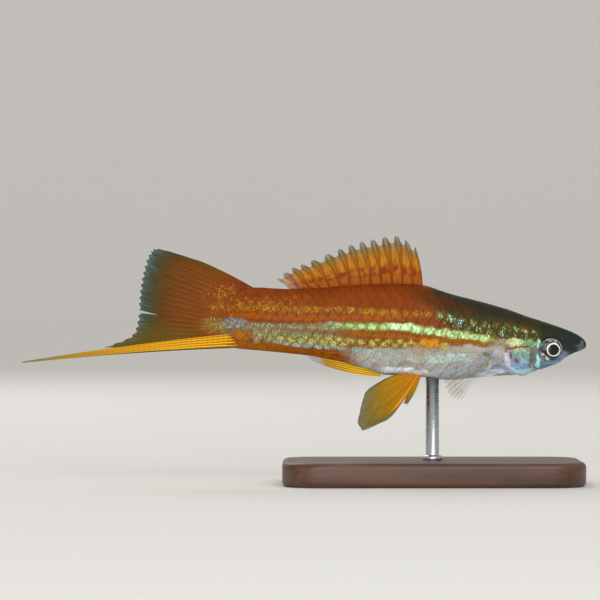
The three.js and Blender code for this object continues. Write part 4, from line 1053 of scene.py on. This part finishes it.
def scale_roots(settings):
    """Where the scales grow, as points of the skin's unwrap, with each scale's size there."""
    head_pitch, flank_pitch = settings.front_pitch / MM, settings.pitch / MM
    behind, columns = FIRST_SCALES, []
    while behind < LAST_SCALES:
        pitch = head_pitch + (flank_pitch - head_pitch) * float(smooth(HEAD_SCALES, FLANK_SCALES, behind))
        pitch *= 1 - STALK_SHRINK * float(smooth(*STALK, behind))
        columns.append((behind, pitch))
        behind += pitch / 2
    draw = np.random.default_rng(settings.seed)
    roots, sizes = [], []
    for k, (behind, pitch) in enumerate(columns):
        ring = even_angles(behind, 4 * settings.rows)
        length = SCALE_LENGTH * pitch
        for row in range(k % 2, settings.rows, 2):
            above = body_point(behind, ring[4 * row])[2] - SNOUT_Z
            if is_bare(behind, above, behind + length):
                continue
            # Scales lie flatter on the head and the belly
            flat = (0.45 + 0.55 * float(smooth(9, 15, behind))) * (0.3 + 0.7 * float(smooth(-3, 0.5, above)))
            long, wide = 1 + SCALE_JITTER * (draw.random(2) - 0.5)
            roots.append((along_share(behind), row / settings.rows, 0))
            sizes.append((length / BODY_LENGTH * (1 - 2 * CAP_MARGIN) * long,
                          SCALE_WIDTH / settings.rows * wide, settings.lift * flat))
    return np.array(roots), np.array(sizes)


def scale_tree():
    """Geometry nodes that lay one scale on every root, bend it to the skin and lift its free edge."""
    tree = bpy.data.node_groups.new("Scales along the lie", "GeometryNodeTree")
    for label, kind in (("Geometry", "NodeSocketGeometry"), ("Scale", "NodeSocketObject"),
                        ("Skin", "NodeSocketObject"), ("Patch", "NodeSocketFloat"), ("Seed", "NodeSocketInt"),
                        ("Material", "NodeSocketMaterial")):
        tree.interface.new_socket(label, in_out="INPUT", socket_type=kind)
    tree.interface.new_socket("Geometry", in_out="OUTPUT", socket_type="NodeSocketGeometry")
    given = add(tree, "NodeGroupInput").node.outputs
    shape_info = add(tree, "GeometryNodeObjectInfo", {"Object": given["Scale"]}).node.outputs["Geometry"]
    skin_info = add(tree, "GeometryNodeObjectInfo", {"Object": given["Skin"]}).node.outputs["Geometry"]
    size = add(tree, "GeometryNodeInputNamedAttribute", {"Name": "size"}, data_type="FLOAT_VECTOR")
    laid = add(tree, "GeometryNodeInstanceOnPoints",
               {"Points": given["Geometry"], "Instance": shape_info, "Scale": size})
    place = add(tree, "GeometryNodeInputPosition")
    laid = add(tree, "GeometryNodeStoreNamedAttribute", {"Geometry": laid, "Name": "root", "Value": place},
               data_type="FLOAT_VECTOR", domain="INSTANCE")
    chance = add(tree, "FunctionNodeRandomValue", {"Seed": given["Seed"]}, data_type="FLOAT").node.outputs[1]
    laid = add(tree, "GeometryNodeStoreNamedAttribute", {"Geometry": laid, "Name": "tone", "Value": chance},
               data_type="FLOAT", domain="INSTANCE")
    real = add(tree, "GeometryNodeRealizeInstances", {"Geometry": laid})
    root = add(tree, "GeometryNodeInputNamedAttribute", {"Name": "root"}, data_type="FLOAT_VECTOR")
    plate = add(tree, "GeometryNodeInputNamedAttribute", {"Name": "plate"}, data_type="FLOAT_VECTOR")
    local = add(tree, "ShaderNodeVectorMath", {0: plate, 1: (-0.5, 0.0, 0.0)}, operation="ADD")
    local = add(tree, "ShaderNodeVectorMath", {0: local, 1: (1.0, 0.5, 0.0)}, operation="MULTIPLY")
    local = add(tree, "ShaderNodeVectorMath", {0: local, "Scale": given["Patch"]}, operation="SCALE")
    local = add(tree, "ShaderNodeVectorMath", {0: root, 1: local}, operation="ADD")
    real = add(tree, "GeometryNodeStoreNamedAttribute", {"Geometry": real, "Name": "OFBake", "Value": local},
               data_type="FLOAT2", domain="CORNER")
    split = add(tree, "ShaderNodeSeparateXYZ", {0: place}).node.outputs
    wrapped = add(tree, "ShaderNodeMath", {0: split["Y"]}, operation="FRACT")
    spot = add(tree, "ShaderNodeCombineXYZ", {0: split["X"], 1: wrapped})
    unwrap = add(tree, "GeometryNodeInputNamedAttribute", {"Name": "OFBake"}, data_type="FLOAT_VECTOR")
    ground, normal = (
        add(tree, "GeometryNodeSampleUVSurface",
            {"Mesh": skin_info, "Value": value, "Source UV Map": unwrap, "Sample UV": spot},
            data_type="FLOAT_VECTOR")
        for value in (place, add(tree, "GeometryNodeInputNormal")))
    normal = add(tree, "ShaderNodeVectorMath", {0: normal}, operation="NORMALIZE")
    rise = add(tree, "ShaderNodeVectorMath", {0: normal, "Scale": split["Z"]}, operation="SCALE")
    landed = add(tree, "ShaderNodeVectorMath", {0: ground, 1: rise}, operation="ADD")
    real = add(tree, "GeometryNodeSetPosition", {"Geometry": real, "Position": landed})
    real = add(tree, "GeometryNodeSetShadeSmooth", {"Geometry": real})
    real = add(tree, "GeometryNodeSetMaterial", {"Geometry": real, "Material": given["Material"]})
    add(tree, "NodeGroupOutput", {"Geometry": real})
    return tree


class SWORDTAIL_OT_scales(bpy.types.Operator):
    """Lays overlapping scales over the skin, from the nape and gill covers back to the tail fin"""

    bl_idname = "swordtail.scales"
    bl_label = "Scales"

    def execute(self, context):
        settings = context.scene.swordtail_scales
        skin = bpy.data.objects["fish_skin"]
        roots, sizes = scale_roots(settings)
        mesh = mesh_from("fish_scales", roots / MM, [], None, {"size": sizes})
        scales = new_object("fish_scales", mesh)
        shape = new_object("scale_shape", scale_shape())
        look = scale_material(bpy.data.node_groups["Swordtail markings"])
        tree = scale_tree()
        modifier = scales.modifiers.new("Scales along the lie", "NODES")
        modifier.node_group = tree
        values = {"Scale": shape, "Skin": skin, "Patch": PATCH, "Seed": settings.seed, "Material": look}
        for item in tree.interface.items_tree:
            if item.in_out == "INPUT" and item.name in values:
                modifier[item.identifier] = values[item.name]
        context.view_layer.update()
        ready = scales.evaluated_get(context.evaluated_depsgraph_get())
        plain = bpy.data.meshes.new_from_object(ready)
        scales.modifiers.clear()
        scales.data = plain
        bpy.data.objects.remove(shape)
        if len(plain.polygons) < len(roots) * FACES_PER_SCALE:
            raise RuntimeError("the scales didn't grow on the skin")
        finish_piece(scales, look, "rust_skin")
        return {"FINISHED"}


EYE_BULGE = 0.42  # how far the eye stands out over its rim
EYE_IN_SOCKET = 0.98  # share of the socket's radius that the eye fills


class SWORDTAIL_OT_eyes(bpy.types.Operator):
    """Makes the two eyes, each a low dome that fills its socket"""

    bl_idname = "swordtail.eyes"
    bl_label = "Eyes"

    def execute(self, context):
        look = eye_material()
        r, rim = EYE_RADIUS, EYE_OUT - EYE_BULGE
        turns = np.radians(np.linspace(90, 0, 12))
        dome = [(r * EYE_IN_SOCKET * math.cos(a), rim + (EYE_OUT - rim) * math.sin(a)) for a in turns]
        back = [(r * 0.94, rim - 0.25), (r * 0.7, rim - 0.8), (r * 0.35, rim - 1.05), (0, rim - 1.1)]
        for word, side in SIDES.items():
            centre = (SNOUT_X - EYE_BEHIND, 0, SNOUT_Z - EYE_BELOW_SNOUT)
            ball = revolve("eyeball_" + word, [(0, EYE_OUT), *dome[1:], *back], centre, (0, side, 0), 56)
            finish_piece(ball, look, "eye", "eye_" + word)
        return {"FINISHED"}


def fin_sizes(context):
    """The thickness and the height of the rays, in mm, from the sidebar."""
    settings = context.scene.swordtail_fins
    return {"thick": settings.thickness / MM, "ray_height": settings.rays / MM}


class SWORDTAIL_OT_dorsal_fin(bpy.types.Operator):
    """Makes the tall dorsal fin"""

    bl_idname = "swordtail.dorsal_fin"
    bl_label = "Dorsal fin"

    def execute(self, context):
        roots = [at(27.2, 9.2), at(49.3, 9.1)]
        tips = [at(28.4, 16.3), at(31.4, 18.25), at(35.1, 17.8), at(38.6, 17.0), at(42, 15.7), at(46.3, 13.9),
                at(49.2, 12.8), at(51.8, 11.0)]
        rays = even_rays(roots, tips, lambda u: (0.3 + 0 * u, 0 * u, 0.6 * u * (1 - u)))
        fin = fan_sheet("dorsal_fin_fine", rays, count=14, rows=64, web=lambda u: 0.87 - 0.02 * u,
                        **fin_sizes(context), ray_width=0.1, split=0.1, spread=0.22, seed=3, stain=1.15)

        def red_spots(tree, fan):
            """Red-brown spots between the rays, in a broken band across the fin's middle."""
            away = add(tree, "ShaderNodeMath", {0: fan["Y"], 1: 0.36}, operation="SUBTRACT")
            away = add(tree, "ShaderNodeMath", {0: away}, operation="ABSOLUTE")
            band = add(tree, "ShaderNodeMapRange", {0: away, 1: 0.03, 2: 0.15, 3: 0.9, 4: 0.0},
                       interpolation_type="SMOOTHSTEP")
            spots = add(tree, "ShaderNodeCombineXYZ", {0: fan["X"], 1: fan["Y"]})
            spots = add(tree, "ShaderNodeVectorMath", {0: spots, 1: (24.0, 7.0, 0.0)}, operation="MULTIPLY")
            spots = add(tree, "ShaderNodeTexNoise", {"Vector": spots, "Scale": 1.0, "Detail": 3.0})
            broken = add(tree, "ShaderNodeMapRange", {0: spots, 1: 0.4, 2: 0.56})
            between = add(tree, "ShaderNodeMapRange", {0: fan["Z"], 3: 1.0, 4: 0.5})
            share = add(tree, "ShaderNodeMath", {0: band, 1: broken}, operation="MULTIPLY")
            return "842604", add(tree, "ShaderNodeMath", {0: share, 1: between}, operation="MULTIPLY")

        # Amber skin between red-brown rays, which lets light through and clears towards its free edge
        look = fin_material(
            "Dorsal fin membrane",
            [(0.0, "803208"), (0.12, "a0500a"), (0.3, "aa600a"), (0.55, "c07c0c"), (0.7, "b87816"),
             (0.8, "a0803e"), (0.9, "908468"), (1.0, "8c8878")],
            [(0.0, "642206"), (0.3, "682604"), (0.5, "743804"), (0.8, "4c3010"), (1.0, "3a2c20")],
            [(0.0, 0.97), (0.6, 0.92), (0.75, 0.75), (0.9, 0.42), (1.0, 0.3)], ray_depth=0.8, root_reach=0.12,
            streaks=50.0, overlay=red_spots, clear_rear=0.86,
        )
        finish_piece(fin, look, "orange_fin", "dorsal_fin")
        return {"FINISHED"}


class SWORDTAIL_OT_tail_fin(bpy.types.Operator):
    """Makes the fan of the tail fin, with the split in its lower half"""

    bl_idname = "swordtail.tail_fin"
    bl_label = "Tail fin"

    def execute(self, context):
        roots = [at(55.5, 9.6), at(57, 9.3), at(58.6, 7.6), at(59.2, 5.6), at(59.3, 3.8), at(59, 2.4),
                 at(58.4, 1.0)]
        tips = [at(64.3, 14.0), at(71, 16.0), at(72.7, 15.3), at(73.6, 12.8), at(74.2, 10), at(74.5, 7.1),
                at(74.7, 4.3), at(75.8, 1.5), at(80.3, -0.4)]
        rays = even_rays(roots, tips, lambda u: (0 * u, 0 * u, 0.2 - 0.7 * u))
        fin = fan_sheet("tail_fin_fine", rays, count=23, rows=76, web=0.98, **fin_sizes(context),
                        ray_width=0.085, split=0.2, spread=0.27, seed=5, slit=(0.69, 0.006, 0.2), stain=1.2,
                        ragged=0.3)

        def olive_lobe(tree, fan):
            """Olive over the lower lobe and the upper edge, outside the root."""
            low = add(tree, "ShaderNodeMapRange", {0: fan["X"], 1: 0.72, 2: 0.86, 3: 0.0, 4: 0.6},
                      interpolation_type="SMOOTHSTEP")
            high = add(tree, "ShaderNodeMapRange", {0: fan["X"], 1: 0.02, 2: 0.13, 3: 0.6, 4: 0.0},
                       interpolation_type="SMOOTHSTEP")
            low = add(tree, "ShaderNodeMath", {0: low, 1: high}, operation="MAXIMUM")
            far = add(tree, "ShaderNodeMapRange", {0: fan["Y"], 1: 0.25, 2: 0.5})
            return "625210", add(tree, "ShaderNodeMath", {0: low, 1: far}, operation="MULTIPLY")

        # Denser rust skin, nearly solid, that turns slate at the margin under dark rays
        look = fin_material(
            "Tail fin membrane",
            [(0.0, "864408"), (0.3, "804408"), (0.6, "7a4208"), (0.76, "68400c"), (0.86, "4c4820"),
             (0.93, "465448"), (1.0, "5c6c68")],
            [(0.0, "6c3006"), (0.5, "5c2e06"), (0.8, "40300c"), (0.9, "2a3228"), (1.0, "36423e")],
            [(0.0, 0.97), (0.6, 0.95), (0.8, 0.92), (0.9, 0.88), (1.0, 0.7)], root_reach=0.42, streaks=90.0,
            ray_depth=0.65, overlay=olive_lobe,
        )
        finish_piece(fin, look, "orange_fin", "tail_fin")
        return {"FINISHED"}


class SWORDTAIL_OT_sword(bpy.types.Operator):
    """Makes the sword, the drawn-out lower rays of the tail fin"""

    bl_idname = "swordtail.sword"
    bl_label = "Sword"

    def execute(self, context):
        length = SNOUT_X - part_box("sword")[0].x / MM
        roots = [at(57.5, 2.0), at(57.8, -0.45)]
        tips = [at(length, -2.78), at(length, -3.0)]
        rays = even_rays(roots, tips, lambda u: (0 * u, 0 * u, 0.32 + 0 * u))
        fin = fan_sheet("sword_fine", rays, count=6, rows=150, web=1.0, thick=0.34, ray_height=0.12,
                        ray_width=0.2, split=0.9, spread=0.1, seed=6, per_gap=8)

        def dark_edge(tree, fan):
            """A dark lower edge that fades towards the tip."""
            edge = add(tree, "ShaderNodeMapRange", {0: fan["X"], 1: 0.88, 2: 0.93, 3: 0.0, 4: 0.95})
            fade = add(tree, "ShaderNodeMapRange", {0: fan["Y"], 1: 0.45, 2: 0.85, 3: 1.0, 4: 0.15})
            return "20130c", add(tree, "ShaderNodeMath", {0: edge, 1: fade}, operation="MULTIPLY")

        # Thick golden rays side by side, solid almost to the tip, with a dark lower edge
        look = fin_material(
            "Sword rays",
            [(0.0, "a45804"), (0.3, "c07c0a"), (0.6, "b88414"), (0.85, "9c8434"), (1.0, "8c8c70")],
            [(0.0, "ffcc20"), (0.3, "ffcc2c"), (0.6, "e8b42c"), (0.85, "b49c44"), (1.0, "9a9a80")],
            [(0.0, 1.0), (0.8, 1.0), (0.93, 0.8), (1.0, 0.5)], ray_depth=1.0, streaks=14.0, root_reach=0.05,
            overlay=dark_edge,
        )
        finish_piece(fin, look, "gold_fin", "sword")
        return {"FINISHED"}


class SWORDTAIL_OT_anal_fin(bpy.types.Operator):
    """Makes the male's anal fin, a narrow rod of thick rays folded back along the belly"""

    bl_idname = "swordtail.anal_fin"
    bl_label = "Anal fin"

    def execute(self, context):
        roots = [at(34.9, -3.9), at(34.1, -5.25)]
        tips = [at(46.4, -1.85), at(45.7, -2.6)]
        rays = even_rays(roots, tips, lambda u: (0 * u, 0 * u, 0.35 - 0.95 * u))
        fin = fan_sheet("anal_fin_fine", rays, count=6, rows=70, web=0.985, thick=0.36, ray_height=0.14,
                        ray_width=0.22, split=0.9, spread=0.1, seed=8, per_gap=8)
        # Stout golden rays that hide the skin between them, grey at the tip
        look = fin_material(
            "Anal fin rays",
            [(0.0, "b47c10"), (0.5, "ac7408"), (0.78, "946c28"), (0.88, "a8a2a0")],
            [(0.0, "fcd824"), (0.4, "ffdc30"), (0.78, "e0b038"), (0.88, "c4c0c8")],
            [(0.0, 1.0), (0.85, 0.95), (1.0, 0.8)], ray_depth=1.0, streaks=14.0,
        )
        finish_piece(fin, look, "gold_fin", "anal_fin")
        return {"FINISHED"}


class SWORDTAIL_OT_pelvic_fins(bpy.types.Operator):
    """Makes the two pelvic fins"""

    bl_idname = "swordtail.pelvic_fins"
    bl_label = "Pelvic fins"

    def execute(self, context):
        layout = [  # each ray's root, its tip, and how far it bends forwards and down
            (27.5, -5.0, 0.8, 29.9, -9.95, 1.9, 0.2),
            (27.8, -5.0, 0.8, 30.25, -9.8, 1.9, 0.1),
            (28.0, -5.0, 0.85, 33.0, -12.3, 2.4, 0.1),
            (28.2, -5.0, 0.85, 37.1, -14.1, 3.2, 0.45),
            (28.4, -5.0, 0.9, 38.0, -13.0, 3.3, 0.15),
            (28.8, -4.9, 0.9, 37.4, -10.1, 2.9, -0.1),
            (29.2, -4.8, 0.9, 36.6, -7.8, 2.4, -0.2),
            (29.7, -4.6, 0.85, 34.2, -6.1, 1.7, -0.2),
        ]

        def orange_ray(tree, fan):
            """A bright orange ray near the fin's front."""
            front = add(tree, "ShaderNodeMath", {0: fan["X"], 1: 0.33}, operation="SUBTRACT")
            front = add(tree, "ShaderNodeMath", {0: front}, operation="ABSOLUTE")
            front = add(tree, "ShaderNodeMapRange", {0: front, 1: 0.02, 2: 0.06, 3: 0.9, 4: 0.0})
            fade = add(tree, "ShaderNodeMapRange", {0: fan["Y"], 1: 0.55, 2: 0.8, 3: 1.0, 4: 0.0})
            return "fb9c26", add(tree, "ShaderNodeMath", {0: front, 1: fade}, operation="MULTIPLY")

        # Ochre skin, half clear at the margin, with one bright orange ray
        look = fin_material(
            "Pelvic fin membrane",
            [(0.0, "cc7408"), (0.2, "b47a06"), (0.6, "a47c0c"), (0.82, "8c7838"), (1.0, "8c8460")],
            [(0.0, "e8880c"), (0.35, "c0840e"), (0.7, "846414"), (1.0, "6c6448")],
            [(0.0, 0.97), (0.7, 0.88), (0.88, 0.7), (1.0, 0.5)], overlay=orange_ray,
        )
        webs = np.array([0.99, 0.62, 0.97, 0.98, 0.99, 0.99, 0.99, 0.99])
        for word, side in SIDES.items():
            table = np.array(layout)
            bow = table[:, 6]
            rays = listed_rays(at(table[:, 0], table[:, 1], side * table[:, 2]),
                               at(table[:, 3], table[:, 4], side * table[:, 5]),
                               np.stack([bow, np.full(len(bow), side * 0.3), -bow], -1))
            gaps = len(layout) - 1
            fin = fan_sheet("pelvic_fin_fine_" + word, rays, count=len(layout), rows=60,
                            web=lambda u: webs[np.minimum((u * gaps).astype(int), gaps)],
                            **fin_sizes(context), ray_width=0.07, split=0.25, spread=0.24, seed=9,
                            ragged=0.15)
            finish_piece(fin, look, "orange_fin", "pelvic_fin_" + word)
        return {"FINISHED"}


class SWORDTAIL_OT_pectoral_fins(bpy.types.Operator):
    """Makes the two clear pectoral fins"""

    bl_idname = "swordtail.pectoral_fins"
    bl_label = "Pectoral fins"

    def execute(self, context):
        sizes = fin_sizes(context)
        # Skin so clear that only its thin olive rays catch the eye
        look = fin_material(
            "Pectoral fin membrane",
            [(0.0, "c4c4a8"), (0.15, "a8a890"), (1.0, "a4a394")],
            [(0.0, "9a8a4c"), (0.3, "6c6034"), (1.0, "6e6850")],
            [(0.0, 0.25), (0.12, 0.07), (0.5, 0.03), (1.0, 0.05)], streaks=30.0, ray_solid=0.22,
        )
        for word, side in SIDES.items():
            roots = [at(15.3, -1.1, side * 3.3), at(15.8, -2.2, side * 3.2), at(16.5, -3.2, side * 2.8)]
            tips = [at(20.6, -0.5, side * 6.4), at(22.8, -2.4, side * 7.2), at(23.4, -4.6, side * 7.3),
                    at(23.3, -7, side * 6.8), at(22.5, -8.7, side * 6.1), at(21.1, -9.1, side * 5.4)]
            rays = even_rays(roots, tips, lambda u: (0 * u, side * 0.45 + 0 * u, 0.2 + 0 * u))
            fin = fan_sheet("pectoral_fin_fine_" + word, rays, count=12, rows=52, web=0.95,
                            thick=0.8 * sizes["thick"], ray_height=0.7 * sizes["ray_height"],
                            ray_width=0.055, split=0.4, spread=0.2, seed=11, per_gap=10)
            finish_piece(fin, look, "clear_fin", "pectoral_fin_" + word)
        return {"FINISHED"}


# The stand
COLLAR = [(0.55, 0), (0.55, 0.75), (0.4, 0.95), (0.05, 1.0), (0, 1.1)]  # past the rod, and over its foot
ROD_SUNK, ROD_IN_BELLY = 0.2, 0.6


class SWORDTAIL_OT_stand(bpy.types.Operator):
    """Makes the walnut base and the steel rod"""

    bl_idname = "swordtail.stand"
    bl_label = "Stand"

    def execute(self, context):
        settings = context.scene.swordtail_stand
        corner, edge = settings.corner / MM, settings.edge / MM
        low, high = (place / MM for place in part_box("stand_base"))
        half_x, half_y, height = (high.x - low.x) / 2, (high.y - low.y) / 2, high.z - low.z
        centre = np.array([(low.x + high.x) / 2, 0, low.z])
        quarter = np.radians(np.linspace(0, 90, 17))
        rounding = [(edge * (1 - math.sin(a)), edge * (1 - math.cos(a)))
                    for a in np.radians(np.linspace(0, 90, 7))]
        rings = []
        for shrink, z in rounding + [(up, height - shrink) for shrink, up in rounding]:
            ring = [(sx * (half_x - corner) + (corner - shrink) * math.cos(a + turns * math.pi / 2),
                     sy * (half_y - corner) + (corner - shrink) * math.sin(a + turns * math.pi / 2), z)
                    for turns, (sx, sy) in enumerate(((1, 1), (-1, 1), (-1, -1), (1, -1))) for a in quarter]
            rings.append(np.array(ring) + centre)
        around = len(rings[0])
        faces, _ = grid_faces(len(rings), around, closed=True)
        ends = [list(range(around))[::-1], list(range((len(rings) - 1) * around, len(rings) * around))]
        mesh = mesh_from("walnut_base", np.concatenate(rings), [*faces, *ends])
        mesh.polygons[-1].use_smooth = mesh.polygons[-2].use_smooth = False
        turn_out(mesh)
        base = new_object("walnut_base", mesh)
        finish_piece(base, walnut_material(), "walnut", "stand_base")
        low, high = (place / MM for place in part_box("stand_rod"))
        radius = (high.x - low.x) / 2
        foot, top = centre[2] + height - ROD_SUNK, high.z + ROD_IN_BELLY
        profile = [(0, foot), *((radius + out, foot + up) for out, up in COLLAR), (radius, top), (0, top)]
        rod = revolve("steel_rod", profile, ((low.x + high.x) / 2, 0, 0), (0, 0, 1), 40)
        finish_piece(rod, steel_material(), "steel", "stand_rod")
        return {"FINISHED"}


# The paper sweep's width, front, back, rise and the radius of its bend
SWEEP = (3000, -2500, 1500, 1500, 500)
SWEEP_UNDER = 0.01


class SWORDTAIL_OT_stage(bpy.types.Operator):
    """Makes the paper sweep, the soft lights and the camera at the photo's angle"""

    bl_idname = "swordtail.stage"
    bl_label = "Studio"

    def execute(self, context):
        settings = context.scene.swordtail_stage
        width, front, depth, rise, radius = SWEEP
        curve = [(depth - radius + radius * math.sin(a), radius - radius * math.cos(a))
                 for a in np.radians(np.linspace(0, 90, 24))]
        section = [(front, 0), *curve, (depth, rise)]
        points = [(x, y, z - SWEEP_UNDER) for y, z in section for x in (-width / 2, width / 2)]
        faces = [[2 * k, 2 * k + 1, 2 * k + 3, 2 * k + 2] for k in range(len(section) - 1)]
        sweep = new_object("paper_sweep", mesh_from("paper_sweep", points, faces))
        sweep.data.materials.append(paper_material(settings.paper))

        aim = Vector((VIEW_MIDDLE[0], 0, VIEW_MIDDLE[1])) * MM
        lights = [("key_softbox", (0.25, -0.75, 0.45), 0.45, settings.key_power),
                  ("fill_softbox", (-0.10, -0.80, 0.12), 0.35, settings.fill_power),
                  ("rim_softbox", (-0.25, 0.55, 0.55), 0.4, settings.rim_power)]
        for name, place, size, power in lights:
            lamp = bpy.data.lights.new(name, "AREA")
            lamp.shape, lamp.size, lamp.energy = "SQUARE", size, power
            thing = new_object(name, lamp)
            thing.location = place
            thing.rotation_euler = (aim - thing.location).to_track_quat("-Z", "Y").to_euler()
        world = bpy.data.worlds.new("Studio air")
        world.use_nodes = True
        air = world.node_tree.nodes["Background"].inputs
        air["Color"].default_value = (*settings.air, 1)
        air["Strength"].default_value = settings.air_strength
        context.scene.world = world
        context.scene.view_settings.view_transform = "Standard"

        camera = bpy.data.cameras.new("photo_camera")
        camera.sensor_width = 36.0
        camera.lens = camera.sensor_width * settings.distance / settings.view_width
        camera.clip_start, camera.clip_end = 0.01, 20
        thing = new_object("photo_camera", camera)
        thing.location = aim + Vector((0, -settings.distance, 0))
        thing.rotation_euler = (math.pi / 2, 0, 0)
        context.scene.camera = thing
        return {"FINISHED"}


PIECES = (
    SWORDTAIL_OT_skin, SWORDTAIL_OT_scales, SWORDTAIL_OT_eyes, SWORDTAIL_OT_dorsal_fin, SWORDTAIL_OT_tail_fin,
    SWORDTAIL_OT_sword, SWORDTAIL_OT_anal_fin, SWORDTAIL_OT_pelvic_fins, SWORDTAIL_OT_pectoral_fins,
    SWORDTAIL_OT_stand, SWORDTAIL_OT_stage,
)
SETTINGS = {
    "swordtail_skin": SwordtailSkin, "swordtail_scales": SwordtailScales, "swordtail_fins": SwordtailFins,
    "swordtail_stand": SwordtailStand, "swordtail_stage": SwordtailStage,
}


class SWORDTAIL_PT_panel(bpy.types.Panel):
    """Lists the fish's pieces and their sizes"""

    bl_label = "Swordtail"
    bl_idname = "SWORDTAIL_PT_panel"
    bl_space_type = "VIEW_3D"
    bl_region_type = "UI"
    bl_category = "Swordtail"

    def draw(self, context):
        for key, group in SETTINGS.items():
            for field in group.__annotations__:
                self.layout.prop(getattr(context.scene, key), field)
        for piece in PIECES:
            self.layout.operator(piece.bl_idname)


def register():
    for group in (*SETTINGS.values(), *PIECES, SWORDTAIL_PT_panel):
        bpy.utils.register_class(group)
    for key, group in SETTINGS.items():
        setattr(bpy.types.Scene, key, PointerProperty(type=group))


def unregister():
    for key in SETTINGS:
        delattr(bpy.types.Scene, key)
    for group in reversed((*SETTINGS.values(), *PIECES, SWORDTAIL_PT_panel)):
        bpy.utils.unregister_class(group)


def main():
    """Registers the add-on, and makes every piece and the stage."""
    register()
    for piece in PIECES:
        family, name = piece.bl_idname.split(".")
        getattr(getattr(bpy.ops, family), name)()


if __name__ == "__main__":
    main()
